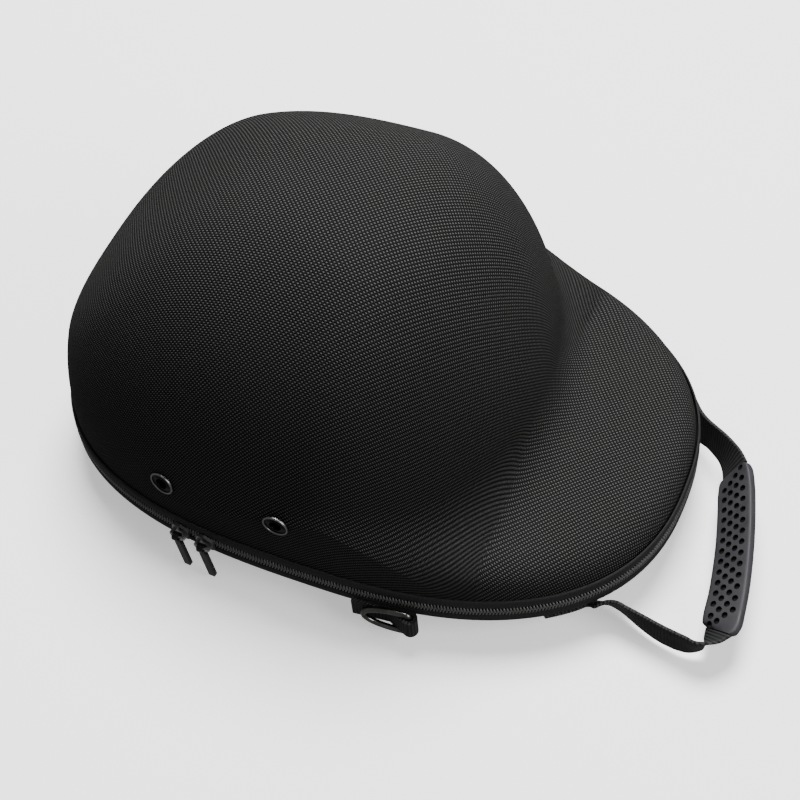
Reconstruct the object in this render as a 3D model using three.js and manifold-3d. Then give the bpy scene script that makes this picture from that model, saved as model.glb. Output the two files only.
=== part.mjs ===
// Carrier case for a baseball cap: two moulded shells that a zip and a cloth hinge hold together.
// Millimetres, +Z up. The brim points to -Y. The origin is the centre of the flat underside.
import * as THREE from 'three';
import { mergeVertices } from 'three/addons/utils/BufferGeometryUtils.js';
import Module from 'manifold-3d';

const wasm = await Module();
wasm.setup();

// Plan outline of both shells: two half superellipses that meet at the widest section
const HALF_WIDTH = 96.5;
const REAR_REACH = 152;
const FRONT_REACH = 138;
const REAR_POWER = 2.72;
const FRONT_POWER = 2.41;
const WIDEST_Y = -7;

// Shell walls, the seam between the shells and the rounded lower edge of the tray
const WALL = 3;
const TRAY_DEPTH = 20.4;
const RIM_LAND = 1;
const EDGE_INSET = 28;
const ZIP_HEIGHT = 4.8;
const GAP = 0.3;

// Crown: heights and distances are measured from the upper shell's rim and the widest section
const CROWN_HEIGHT = 147.6;
const CROWN_POWER = 2.115;
const CROWN_FRONT = 75.2;
const CROWN_FRONT_POWER = 2.07;
const CROWN_FIRMNESS = 80;
const REAR_FACET_ANGLE = 47.9;
const REAR_FACET_REACH = 155.2;
const REAR_FACET_BLEND = 22.2;
const TOP_FACET_ANGLE = 8;
const TOP_FACET_CLEARANCE = 15.84;
const TOP_FACET_BLEND = 29.4;

// Brim: a slab that rises gently towards the crown and rolls over at its edge
const BRIM_HEIGHT = 20.6;
const BRIM_MIDDLE = 90;
const BRIM_RISE = 0.107;
const BRIM_TAIL = 10;
const BRIM_FALL = 0.375;
const BRIM_EDGE_BLEND = 18.1;
const CREASE_BLEND = 21.1;

// Zip, its tapes and the cloth hinge at the rear
const CHAIN_DEPTH = 1.2;
const CHAIN_PROUD = 1.4;
const UPPER_TAPE_HEIGHT = 5;
const LOWER_TAPE_HEIGHT = 4.6;
const TAPE_THICKNESS = 1.2;
const TAPE_ROUNDING = 0.9;
const HINGE_HALF_ANGLE = 25;
const HINGE_MARGIN = 6.5;
const HINGE_END_GAP = 0.4;

// Zip sliders and their pulls
const SLIDER_LENGTH = 9;
const SLIDER_WIDTH = 9;
const SLIDER_THICKNESS = 1.4;
const BRIDGE_BAR = 1.3;
const BRIDGE_SPAN = 8;
const PULL_LENGTH = 21;
const PULL_WIDTH = 3.6;
const PULL_THICKNESS = 1.8;
const PULL_EYE_WALL = 0.7;
const PULL_EYE_WIDTH = 2.8;
const PULL_LEAN_ANGLE = 8;
const SLIDER_TAIL_SHARE = 0.6;
const SLIDER_ROWS = [
  { name: 'rear', angle: 145.8 },
  { name: 'front', angle: 151.9 },
];

// Ventilation eyelets in both sides of the upper shell. rise is a share of CROWN_HEIGHT.
const EYELET_RADIUS = 6;
const EYELET_LIP = 0.9;
const EYELET_FLOOR = 0.4;
const EYELET_BARREL = 3.6;
const EYELET_BORE = 2.6;
const EYELET_SEAT_CLEARANCE = 0.08;
const EYELET_ROWS = [
  { name: 'rear', angle: 142.3, rise: 0.1714 },
  { name: 'front', angle: 172.8, rise: 0.21 },
];

// D-rings for a shoulder strap, each in a folded cloth tab
const RING_WIRE = 2.8;
const RING_LENGTH = 21;
const RING_HEIGHT = 14;
const RING_DROP = 5.9;
const RING_CORNER = 5;
const RING_BOW_POWER = 2.1;
const RING_BAR_POWER = 7;
const TAB_CLOTH = 1.8;
const TAB_WIDTH = 10.6;
const TAB_LENGTH = 27;
const TAB_ANGLE = 206.5;
const TAB_STAND_OFF = 0.3;
const TAB_FOLD_ANGLE = 60;

// Carrying handle: ribbed webbing sewn to the tray on both sides of the brim, with a rubber grip
const STRAP_WIDTH = 16;
const STRAP_THICKNESS = 1.8;
const STRAP_SEWN_FROM_ANGLE = 233.5;
const STRAP_SEWN_TO_ANGLE = 241.5;
const STRAP_TOP_ANGLE = 14;
const HANDLE_REACH = 30;
const HANDLE_DROP = 4.9;
const HANDLE_PAST_SEAM = 4;
const HANDLE_STAND_OFF = -0.3;
const GRIP_LENGTH = 80;
const GRIP_MIDDLE_SHARE = 0.514;
const GRIP_WIDTH = 18.5;
const GRIP_THICKNESS = 4.6;
const GRIP_HOLE = 1.25;
const GRIP_HOLE_DEPTH = 1.1;
const GRIP_HOLE_PITCH = 5.9;
const GRIP_HOLE_SPREAD = 3.5;
const GRIP_HOLES_ACROSS = 4;
const GRIP_END_MARGIN = 5;

// Route of the handle, near side first. across is a share of HALF_WIDTH, ahead a share of
// HANDLE_REACH in front of the shells, rise a share of the height where the webbing leaves the
// tray, lean the webbing's outward tilt in degrees. The two ends lie on the tray's side.
const HANDLE_END_LEAN_ANGLE = 38;
const HANDLE_END_RISE = 0.66;
const HANDLE_ROUTE = [
  { across: -0.59, ahead: -0.45, rise: 0.729, lean: 22 },
  { across: -0.605, ahead: -0.226, rise: 0.71, lean: 17 },
  { across: -0.631, ahead: 0.042, rise: 0.69, lean: 9 },
  { across: -0.656, ahead: 0.335, rise: 0.684, lean: 5 },
  { across: -0.671, ahead: 0.616, rise: 0.71, lean: 6 },
  { across: -0.671, ahead: 0.834, rise: 0.761, lean: 12 },
  { across: -0.653, ahead: 0.988, rise: 0.839, lean: 26 },
  { across: -0.573, ahead: 1.124, rise: 0.955, lean: 56 },
  { across: -0.491, ahead: 1.104, rise: 1.032, lean: 61 },
  { across: -0.375, ahead: 1.063, rise: 1.129, lean: 57 },
  { across: -0.142, ahead: 0.918, rise: 1.258, lean: 52 },
  { across: 0.099, ahead: 0.707, rise: 1.323, lean: 49 },
  { across: 0.227, ahead: 0.565, rise: 1.29, lean: 36 },
  { across: 0.333, ahead: 0.32, rise: 1.161, lean: 14 },
  { across: 0.42, ahead: 0, rise: 0.97, lean: 6 },
  { across: 0.484, ahead: -0.25, rise: 0.8, lean: 14 },
];

// Rounded ends of the grip: distance from the end as a share of GRIP_WIDTH, then shares of the full
// width and thickness there
const GRIP_ENDS = [
  { inset: 0, width: 0.84, thickness: 0.6 },
  { inset: 0.14, width: 0.93, thickness: 0.85 },
];

// How finely the surfaces are divided
const RIM_STEPS = 54;
const OUTER_ROWS = 17;
const INNER_ROWS = 9;
const TRAY_OUTER_ROWS = 5;
const TRAY_INNER_ROWS = 4;
const EYELET_SIDES = 12;
const EYELET_HOLE_SIDES = 12;
const GRIP_HOLE_SIDES = 5;
const RING_STEPS = 20;
const RING_SIDES = 8;
const SEWN_STEPS = 4;
const NEAR_STRAP_STEPS = 12;
const FAR_STRAP_STEPS = 10;
const GRIP_STEPS = 10;

// Values that follow from the sizes above
const RIM_Z = TRAY_DEPTH + GAP + ZIP_HEIGHT + GAP;
const ZIP_Z = TRAY_DEPTH + GAP + ZIP_HEIGHT / 2;
const FRONT_Y = WIDEST_Y - FRONT_REACH;
const EDGE_DEPTH = TRAY_DEPTH - RIM_LAND;
const TOP_FACET_REACH = CROWN_HEIGHT * Math.cos((TOP_FACET_ANGLE * Math.PI) / 180) + TOP_FACET_CLEARANCE;
const HANDLE_RISE = TRAY_DEPTH - HANDLE_DROP;
const RING_MIDDLE = TRAY_DEPTH - RING_DROP;
const TAPE_FACE = GAP + TAPE_THICKNESS;
const RAD = Math.PI / 180;

const MATERIALS = {
  shell_cloth: new THREE.MeshStandardMaterial({ color: 0x2b2b2c, roughness: 0.82, metalness: 0 }),
  tray_cloth: new THREE.MeshStandardMaterial({ color: 0x252527, roughness: 0.88, metalness: 0 }),
  tape_cloth: new THREE.MeshStandardMaterial({ color: 0x2a2a2a, roughness: 0.8, metalness: 0 }),
  zip_nylon: new THREE.MeshStandardMaterial({ color: 0x3a3a39, roughness: 0.45, metalness: 0 }),
  slider_metal: new THREE.MeshStandardMaterial({ color: 0x3f4042, roughness: 0.35, metalness: 0.9 }),
  pull_gloss: new THREE.MeshStandardMaterial({ color: 0x1c1c1b, roughness: 0.3, metalness: 0.2 }),
  eyelet_metal: new THREE.MeshStandardMaterial({ color: 0x8a8a8c, roughness: 0.35, metalness: 1 }),
  ring_metal: new THREE.MeshStandardMaterial({ color: 0x55585a, roughness: 0.3, metalness: 1 }),
  webbing: new THREE.MeshStandardMaterial({ color: 0x222223, roughness: 0.85, metalness: 0 }),
  grip_rubber: new THREE.MeshStandardMaterial({ color: 0x3b3a40, roughness: 0.6, metalness: 0 }),
};

const carrier = new THREE.Group();

function addMesh(name, geometry, slot, matrix) {
  const mesh = new THREE.Mesh(geometry, MATERIALS[slot]);
  mesh.name = name;
  if (matrix) {
    mesh.applyMatrix4(matrix);
  }
  carrier.add(mesh);
  return mesh;
}

// Closed bodies from points and triangles

function bodyFrom(points, faces) {
  const positions = points.flatMap((p) => [p.x, p.y, p.z]);
  let volume = 0;
  const normal = new THREE.Vector3();
  for (let i = 0; i < faces.length; i += 3) {
    normal.crossVectors(points[faces[i]], points[faces[i + 1]]);
    volume += normal.dot(points[faces[i + 2]]);
  }
  if (volume < 0) {
    faces.reverse();
  }
  const geometry = new THREE.BufferGeometry();
  geometry.setAttribute('position', new THREE.Float32BufferAttribute(positions, 3));
  geometry.setIndex(faces);
  geometry.computeVertexNormals();
  return geometry;
}

function joinRings(points, faces, first, second, size) {
  for (let j = 0; j < size; j += 1) {
    const k = (j + 1) % size;
    const a = first + j;
    const b = first + k;
    const c = second + k;
    const d = second + j;
    if (points[a].distanceTo(points[c]) <= points[b].distanceTo(points[d])) {
      faces.push(a, b, c, a, c, d);
    } else {
      faces.push(a, b, d, b, c, d);
    }
  }
}

// A body whose rings close on two end points, such as a hollow bowl with its outer and inner skin
function bodyBetweenPoles(startPole, rings, endPole) {
  const size = rings[0].length;
  const points = [startPole, ...rings.flat(), endPole];
  const faces = [];
  const lastRing = 1 + (rings.length - 1) * size;
  for (let j = 0; j < size; j += 1) {
    const k = (j + 1) % size;
    faces.push(0, 1 + k, 1 + j);
    faces.push(points.length - 1, lastRing + j, lastRing + k);
  }
  for (let i = 0; i + 1 < rings.length; i += 1) {
    joinRings(points, faces, 1 + i * size, 1 + (i + 1) * size, size);
  }
  return bodyFrom(points, faces);
}

// A body swept through rings of one section, either closed on itself or with a flat lid at each end
function sweptBody(rings, lid) {
  const size = rings[0].length;
  const points = rings.flat();
  const faces = [];
  for (let i = 0; i + 1 < rings.length; i += 1) {
    joinRings(points, faces, i * size, (i + 1) * size, size);
  }
  const last = (rings.length - 1) * size;
  if (lid) {
    for (const [a, b, c] of THREE.ShapeUtils.triangulateShape(lid, [])) {
      faces.push(c, b, a);
      faces.push(last + a, last + b, last + c);
    }
  } else {
    joinRings(points, faces, last, 0, size);
  }
  return bodyFrom(points, faces);
}

function toSolid(geometry, matrix) {
  const bare = geometry.clone();
  bare.deleteAttribute('normal');
  bare.deleteAttribute('uv');
  if (matrix) {
    bare.applyMatrix4(matrix);
  }
  const merged = mergeVertices(bare, 1e-4);
  return new wasm.Manifold(new wasm.Mesh({
    numProp: 3,
    vertProperties: new Float32Array(merged.attributes.position.array),
    triVerts: new Uint32Array(merged.index.array),
  }));
}

function toGeometry(solid) {
  const mesh = solid.getMesh();
  const geometry = new THREE.BufferGeometry();
  geometry.setAttribute('position', new THREE.BufferAttribute(new Float32Array(mesh.vertProperties), 3));
  geometry.setIndex(new THREE.BufferAttribute(new Uint32Array(mesh.triVerts), 1));
  geometry.computeVertexNormals();
  return geometry;
}

// Plan outline

function outlineRadius(angle) {
  const rear = Math.sin(angle) > 0;
  const reach = rear ? REAR_REACH : FRONT_REACH;
  const power = rear ? REAR_POWER : FRONT_POWER;
  const across = Math.abs(Math.cos(angle) / HALF_WIDTH) ** power;
  const along = Math.abs(Math.sin(angle) / reach) ** power;
  return (across + along) ** (-1 / power);
}

function outlineNormal(angle) {
  const step = 1e-3;
  const ahead = outlineRadius(angle + step);
  const behind = outlineRadius(angle - step);
  const dx = Math.cos(angle + step) * ahead - Math.cos(angle - step) * behind;
  const dy = Math.sin(angle + step) * ahead - Math.sin(angle - step) * behind;
  return new THREE.Vector3(dy, -dx, 0).normalize();
}

function outlinePoint(angle, offset, z) {
  const radius = outlineRadius(angle);
  const normal = outlineNormal(angle);
  return new THREE.Vector3(
    Math.cos(angle) * radius + normal.x * offset,
    WIDEST_Y + Math.sin(angle) * radius + normal.y * offset,
    z,
  );
}

// Angles that divide the outline into equal lengths, starting at the rear
function evenAngles(count) {
  const fine = 2880;
  const lengths = [0];
  let previous = outlinePoint(Math.PI / 2, 0, 0);
  for (let i = 1; i <= fine; i += 1) {
    const here = outlinePoint(Math.PI / 2 + (2 * Math.PI * i) / fine, 0, 0);
    lengths.push(lengths[i - 1] + here.distanceTo(previous));
    previous = here;
  }
  const angles = [];
  let i = 0;
  for (let k = 0; k < count; k += 1) {
    const wanted = (lengths[fine] * k) / count;
    while (lengths[i + 1] < wanted) {
      i += 1;
    }
    const part = (wanted - lengths[i]) / (lengths[i + 1] - lengths[i]);
    angles.push(Math.PI / 2 + (2 * Math.PI * (i + part)) / fine);
  }
  return angles;
}

const RIM_ANGLES = evenAngles(RIM_STEPS);

// Stations of a band from one angle to another: the rim's own, and the two ends
function bandAngles(from, to) {
  const margin = 0.5 * RAD;
  const between = RIM_ANGLES.map((a) => from + THREE.MathUtils.euclideanModulo(a - from, 2 * Math.PI))
    .filter((a) => a > from + margin && a < to - margin)
    .sort((a, b) => a - b);
  return [from, ...between, to];
}

// Form of the upper shell: a field that is negative inside and zero on the surface

function softMax(a, b, blend) {
  const h = Math.min(1, Math.max(0, 0.5 + (0.5 * (a - b)) / blend));
  return b * (1 - h) + a * h + blend * h * (1 - h);
}

function softMin(a, b, blend) {
  return -softMax(-a, -b, blend);
}

function caseField(point) {
  const x = point.x;
  const y = point.y - WIDEST_Y;
  const z = point.z - RIM_Z;
  const wall = Math.hypot(x, y) - outlineRadius(Math.atan2(y, x));
  const reach = y > 0 ? REAR_REACH : CROWN_FRONT;
  const power = y > 0 ? REAR_POWER : CROWN_FRONT_POWER;
  const level = (Math.abs(x / HALF_WIDTH) ** power + Math.abs(y / reach) ** power) ** (1 / power);
  const height = Math.max(z, 0) / CROWN_HEIGHT;
  const dome = (level ** CROWN_POWER + height ** CROWN_POWER) ** (1 / CROWN_POWER);
  const rearAngle = REAR_FACET_ANGLE * RAD;
  const topAngle = TOP_FACET_ANGLE * RAD;
  const rearFacet = y * Math.sin(rearAngle) + z * Math.cos(rearAngle) - REAR_FACET_REACH;
  const topFacet = -y * Math.sin(topAngle) + z * Math.cos(topAngle) - TOP_FACET_REACH;
  let crown = (dome - 1) * CROWN_FIRMNESS;
  crown = softMax(crown, rearFacet, REAR_FACET_BLEND);
  crown = softMax(crown, topFacet, TOP_FACET_BLEND);
  crown = Math.max(crown, wall);
  const climb = BRIM_RISE * Math.min(y + BRIM_MIDDLE, BRIM_MIDDLE - BRIM_TAIL);
  const fall = BRIM_FALL * Math.max(y + BRIM_TAIL, 0);
  const brim = softMax(wall, z - (BRIM_HEIGHT + climb - fall), BRIM_EDGE_BLEND);
  return Math.max(softMin(crown, brim, CREASE_BLEND), wall);
}

function fieldNormal(point) {
  const step = 0.05;
  const slope = new THREE.Vector3();
  for (const axis of ['x', 'y', 'z']) {
    const ahead = point.clone();
    const behind = point.clone();
    ahead[axis] += step;
    behind[axis] -= step;
    slope[axis] = caseField(ahead) - caseField(behind);
  }
  return slope.normalize();
}

// Where a ray from inside the case meets the surface
function surfaceOnRay(origin, direction) {
  let near = 0;
  let far = 3 * (REAR_REACH + CROWN_HEIGHT);
  for (let i = 0; i < 40; i += 1) {
    const middle = (near + far) / 2;
    if (caseField(origin.clone().addScaledVector(direction, middle)) < 0) {
      near = middle;
    } else {
      far = middle;
    }
  }
  return origin.clone().addScaledVector(direction, near);
}

const CORE = new THREE.Vector3(0, WIDEST_Y - CROWN_FRONT / 5, RIM_Z);

function meridianPoint(azimuth, elevation) {
  const direction = new THREE.Vector3(
    Math.cos(azimuth) * Math.cos(elevation),
    Math.sin(azimuth) * Math.cos(elevation),
    Math.sin(elevation),
  );
  return surfaceOnRay(CORE, direction);
}

// Elevations that put more rows where the meridian bends
function meridianElevations(azimuth, rows) {
  const bendWeight = 25;
  const fine = 90;
  const trail = [];
  for (let i = 0; i <= fine; i += 1) {
    trail.push(meridianPoint(azimuth, (Math.PI / 2) * (i / fine)));
  }
  const measure = [0];
  for (let i = 1; i <= fine; i += 1) {
    const step = trail[i].clone().sub(trail[i - 1]);
    let bend = 0;
    if (i > 1) {
      bend = trail[i - 1].clone().sub(trail[i - 2]).angleTo(step);
    }
    measure.push(measure[i - 1] + step.length() + bendWeight * bend);
  }
  const elevations = [];
  let i = 0;
  for (let row = 0; row < rows; row += 1) {
    const wanted = (measure[fine] * row) / rows;
    while (measure[i + 1] < wanted) {
      i += 1;
    }
    const part = (wanted - measure[i]) / (measure[i + 1] - measure[i]);
    elevations.push((Math.PI / 2) * ((i + part) / fine));
  }
  return elevations;
}

// Rings of the upper shell from the rim to the top, moved inwards along the surface normal
function shellRings(rows, inset) {
  const rings = Array.from({ length: rows }, () => []);
  for (const angle of RIM_ANGLES) {
    const rim = outlinePoint(angle, -inset, RIM_Z);
    const onOutline = outlinePoint(angle, 0, RIM_Z);
    const azimuth = Math.atan2(onOutline.y - CORE.y, onOutline.x - CORE.x);
    meridianElevations(azimuth, rows).forEach((elevation, row) => {
      if (row === 0) {
        rings[row].push(rim);
        return;
      }
      const point = meridianPoint(azimuth, elevation);
      rings[row].push(point.addScaledVector(fieldNormal(point), -inset));
    });
  }
  return rings;
}

function shellTop(inset) {
  const top = meridianPoint(0, Math.PI / 2);
  return top.addScaledVector(fieldNormal(top), -inset);
}

// Place on the side of the upper shell at a plan angle and a height above the rim
function sidePlace(angle, height) {
  const origin = new THREE.Vector3(0, WIDEST_Y, RIM_Z + height);
  const point = surfaceOnRay(origin, new THREE.Vector3(Math.cos(angle), Math.sin(angle), 0));
  return { point, normal: fieldNormal(point) };
}

function eyeletMatrix(angle, height) {
  const { point, normal } = sidePlace(angle, height);
  const turn = new THREE.Quaternion().setFromUnitVectors(new THREE.Vector3(0, 1, 0), normal);
  return new THREE.Matrix4().compose(point, turn, new THREE.Vector3(1, 1, 1));
}

// The near side is -X; the far side mirrors its angles
const SIDES = [
  { name: 'near', turned: (degrees) => degrees * RAD, rearward: 1 },
  { name: 'far', turned: (degrees) => (540 - degrees) * RAD, rearward: -1 },
];

function upperShell() {
  const outer = shellRings(OUTER_ROWS, 0).reverse();
  const inner = shellRings(INNER_ROWS, WALL);
  let solid = toSolid(bodyBetweenPoles(shellTop(0), [...outer, ...inner], shellTop(WALL)));
  const radius = EYELET_BARREL + GAP;
  const hole = new THREE.CylinderGeometry(radius, radius, 6 * WALL, EYELET_HOLE_SIDES);
  for (const side of SIDES) {
    for (const row of EYELET_ROWS) {
      const matrix = eyeletMatrix(side.turned(row.angle), row.rise * CROWN_HEIGHT);
      solid = solid.subtract(toSolid(hole, matrix));
    }
  }
  return toGeometry(solid);
}

// Side of the tray: a flat strip under the rim, then a rounded edge down to the flat underside

function trayRing(offset, z) {
  return RIM_ANGLES.map((angle) => outlinePoint(angle, offset, z));
}

function trayRings(inset, rows) {
  const rings = [trayRing(-inset, TRAY_DEPTH)];
  for (let i = 0; i <= rows; i += 1) {
    const turn = (Math.PI / 2) * (i / rows);
    const offset = -inset - (EDGE_INSET - inset) * (1 - Math.cos(turn));
    rings.push(trayRing(offset, EDGE_DEPTH - (EDGE_DEPTH - inset) * Math.sin(turn)));
  }
  return rings;
}

function lowerShell() {
  const outer = trayRings(0, TRAY_OUTER_ROWS).reverse();
  const inner = trayRings(WALL, TRAY_INNER_ROWS);
  const underside = new THREE.Vector3(0, WIDEST_Y, 0);
  const floor = new THREE.Vector3(0, WIDEST_Y, WALL);
  return bodyBetweenPoles(underside, [...outer, ...inner], floor);
}

// How far the tray's side lies inside the outline at a height
function trayInset(z) {
  const sine = Math.min(1, Math.max(0, 1 - z / EDGE_DEPTH));
  return EDGE_INSET * (1 - Math.sqrt(1 - sine * sine));
}

// Bands along the seam. A section is a list of offsets from the outline and heights.

function bandBody(section, from, to) {
  const rings = bandAngles(from, to).map((angle) => section.map((s) => outlinePoint(angle, s.x, s.y)));
  return sweptBody(rings, section);
}

// The rounded face of a tape, then the points of its back from the top down
function tapeSection(low, high, back) {
  const face = TAPE_FACE;
  const round = TAPE_ROUNDING;
  return [
    new THREE.Vector2(face - round, low),
    new THREE.Vector2(face, low + round),
    new THREE.Vector2(face, high - round),
    new THREE.Vector2(face - round, high),
    ...back,
  ];
}

function trayBack(low) {
  return [new THREE.Vector2(GAP, EDGE_DEPTH), new THREE.Vector2(GAP - trayInset(low), low)];
}

function chainSection() {
  const low = TRAY_DEPTH + GAP;
  const high = low + ZIP_HEIGHT;
  const round = ZIP_HEIGHT / 4;
  return [
    new THREE.Vector2(-CHAIN_DEPTH, low),
    new THREE.Vector2(CHAIN_PROUD - round, low),
    new THREE.Vector2(CHAIN_PROUD, low + round),
    new THREE.Vector2(CHAIN_PROUD, high - round),
    new THREE.Vector2(CHAIN_PROUD - round, high),
    new THREE.Vector2(-CHAIN_DEPTH, high),
  ];
}

// The hinge covers both rims, and a tongue of it fills the seam between them
function hingeSection() {
  const low = TRAY_DEPTH - HINGE_MARGIN;
  const high = RIM_Z + HINGE_MARGIN;
  return tapeSection(low, high, [
    new THREE.Vector2(GAP, high),
    new THREE.Vector2(GAP, RIM_Z - GAP),
    new THREE.Vector2(-CHAIN_DEPTH, RIM_Z - GAP),
    new THREE.Vector2(-CHAIN_DEPTH, TRAY_DEPTH + GAP),
    new THREE.Vector2(GAP, TRAY_DEPTH + GAP),
    ...trayBack(low),
  ]);
}

function addSeam() {
  const hingeFrom = (90 - HINGE_HALF_ANGLE) * RAD;
  const hingeTo = (90 + HINGE_HALF_ANGLE) * RAD;
  const endGap = HINGE_END_GAP / REAR_REACH;
  const zipFrom = hingeTo + endGap;
  const zipTo = hingeFrom + 2 * Math.PI - endGap;
  const lowerLow = TRAY_DEPTH - LOWER_TAPE_HEIGHT;
  const upperHigh = RIM_Z + UPPER_TAPE_HEIGHT;
  const upperTape = tapeSection(RIM_Z, upperHigh, [
    new THREE.Vector2(GAP, upperHigh),
    new THREE.Vector2(GAP, RIM_Z),
  ]);
  const lowerTape = tapeSection(lowerLow, TRAY_DEPTH, [
    new THREE.Vector2(GAP, TRAY_DEPTH),
    ...trayBack(lowerLow),
  ]);
  addMesh('zip_chain', bandBody(chainSection(), zipFrom, zipTo), 'zip_nylon');
  addMesh('upper_tape', bandBody(upperTape, zipFrom, zipTo), 'tape_cloth');
  addMesh('lower_tape', bandBody(lowerTape, zipFrom, zipTo), 'tape_cloth');
  addMesh('hinge_strip', bandBody(hingeSection(), hingeFrom, hingeTo), 'tape_cloth');
}

// Sliders: a shield-shaped plate over the chain with a bridge that the pull hangs on.
// Their own frame has X along the seam, Y outwards and Z up.

const SLIDER_BACK = Math.max(CHAIN_PROUD, TAPE_FACE) + GAP;
const SLIDER_FACE = SLIDER_BACK + SLIDER_THICKNESS;
const EYE_TILT = (PULL_EYE_WIDTH / 2) * Math.sin(PULL_LEAN_ANGLE * RAD);
const EYE_BORE = (BRIDGE_BAR * Math.SQRT2) / 2 + GAP + EYE_TILT;
const EYE_RADIUS = EYE_BORE + PULL_EYE_WALL;
const BRIDGE_Y = SLIDER_FACE + GAP + EYE_RADIUS + EYE_TILT;

function seamMatrix(angle, offset, z) {
  const normal = outlineNormal(angle);
  const up = new THREE.Vector3(0, 0, 1);
  const along = new THREE.Vector3().crossVectors(normal, up);
  const matrix = new THREE.Matrix4().makeBasis(along, normal, up);
  return matrix.setPosition(outlinePoint(angle, offset, z));
}

// Extrudes a shape drawn along the seam (x) and up (y) into a plate between two depths
function plate(shape, back, front) {
  const geometry = new THREE.ExtrudeGeometry(shape, {
    depth: front - back,
    bevelEnabled: false,
    curveSegments: 6,
  });
  geometry.rotateX(Math.PI / 2);
  geometry.translate(0, front, 0);
  return geometry;
}

// Extrudes a shape drawn outwards (x) and up (y) along the seam, centred on the frame
function slice(shape, width) {
  const geometry = new THREE.ExtrudeGeometry(shape, {
    depth: width,
    bevelEnabled: false,
    curveSegments: 8,
  });
  geometry.translate(0, 0, -width / 2);
  geometry.rotateX(Math.PI / 2);
  geometry.rotateZ(Math.PI / 2);
  return geometry;
}

function sliderBody() {
  const nose = SLIDER_LENGTH / 2;
  const half = SLIDER_WIDTH / 2;
  const shield = new THREE.Shape();
  shield.moveTo(-nose, -half * SLIDER_TAIL_SHARE);
  shield.lineTo(0, -half);
  shield.quadraticCurveTo(nose, -half, nose, 0);
  shield.quadraticCurveTo(nose, half, 0, half);
  shield.lineTo(-nose, half * SLIDER_TAIL_SHARE);
  shield.closePath();
  const outer = BRIDGE_SPAN / 2;
  const inner = outer - BRIDGE_BAR;
  const top = BRIDGE_Y + BRIDGE_BAR / 2;
  const foot = SLIDER_FACE - SLIDER_THICKNESS / 2;
  const arch = new THREE.Shape();
  arch.moveTo(-outer, foot);
  arch.lineTo(-inner, foot);
  arch.lineTo(-inner, top - BRIDGE_BAR);
  arch.lineTo(inner, top - BRIDGE_BAR);
  arch.lineTo(inner, foot);
  arch.lineTo(outer, foot);
  arch.lineTo(outer, top - BRIDGE_BAR / 2);
  arch.lineTo(inner, top);
  arch.lineTo(-inner, top);
  arch.lineTo(-outer, top - BRIDGE_BAR / 2);
  arch.closePath();
  const bridge = new THREE.ExtrudeGeometry(arch, { depth: BRIDGE_BAR, bevelEnabled: false });
  bridge.translate(0, 0, -BRIDGE_BAR / 2);
  return toGeometry(toSolid(plate(shield, SLIDER_BACK, SLIDER_FACE)).add(toSolid(bridge)));
}

// The pull's own frame has the bridge bar as its X axis. The pull hangs a little towards the brim.
function pullBody() {
  const half = PULL_THICKNESS / 2;
  const shoulder = -Math.sqrt(EYE_RADIUS * EYE_RADIUS - half * half);
  const side = new THREE.Shape();
  const startAngle = Math.atan2(shoulder, half);
  side.moveTo(half, shoulder);
  side.absarc(0, 0, EYE_RADIUS, startAngle, Math.PI - startAngle, false);
  side.lineTo(-half, half - PULL_LENGTH);
  side.absarc(0, half - PULL_LENGTH, half, Math.PI, 2 * Math.PI, false);
  side.closePath();
  const bore = new THREE.Path();
  bore.absarc(0, 0, EYE_BORE, 0, 2 * Math.PI, false);
  side.holes.push(bore);
  const tip = PULL_WIDTH / 2;
  const eye = PULL_EYE_WIDTH / 2;
  const front = new THREE.Shape();
  front.moveTo(-eye, EYE_RADIUS + GAP);
  front.lineTo(-eye, -EYE_RADIUS);
  front.lineTo(-tip, -EYE_RADIUS - tip);
  front.lineTo(-tip, tip - PULL_LENGTH);
  front.absarc(0, tip - PULL_LENGTH, tip, Math.PI, 2 * Math.PI, false);
  front.lineTo(tip, -EYE_RADIUS - tip);
  front.lineTo(eye, -EYE_RADIUS);
  front.lineTo(eye, EYE_RADIUS + GAP);
  front.closePath();
  const profile = toSolid(slice(side, PULL_WIDTH + PULL_EYE_WIDTH));
  const reach = EYE_RADIUS + PULL_THICKNESS;
  const pull = toGeometry(profile.intersect(toSolid(plate(front, -reach, reach))));
  return pull.rotateY(PULL_LEAN_ANGLE * RAD);
}

function addSliders() {
  for (const row of SLIDER_ROWS) {
    const angle = row.angle * RAD;
    addMesh(`slider_${row.name}`, sliderBody(), 'slider_metal', seamMatrix(angle, 0, ZIP_Z));
    addMesh(`zip_pull_${row.name}`, pullBody(), 'pull_gloss', seamMatrix(angle, BRIDGE_Y, ZIP_Z));
  }
}

// Eyelets: a dished flange outside the shell and a barrel through its wall

function eyeletBody() {
  const through = WALL + 2 * GAP;
  const profile = [
    new THREE.Vector2(EYELET_BORE, EYELET_FLOOR + GAP),
    new THREE.Vector2(EYELET_BORE, -through),
    new THREE.Vector2(EYELET_BARREL, -through),
    new THREE.Vector2(EYELET_BARREL, GAP),
    new THREE.Vector2(EYELET_RADIUS, GAP),
    new THREE.Vector2(EYELET_RADIUS - EYELET_LIP / 3, GAP + EYELET_LIP),
    new THREE.Vector2(EYELET_RADIUS - EYELET_LIP, GAP + EYELET_LIP),
    new THREE.Vector2(EYELET_RADIUS - 1.5 * EYELET_LIP, EYELET_FLOOR + GAP),
    new THREE.Vector2(EYELET_BORE, EYELET_FLOOR + GAP),
  ];
  return toGeometry(toSolid(new THREE.LatheGeometry(profile, EYELET_SIDES)));
}

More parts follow.
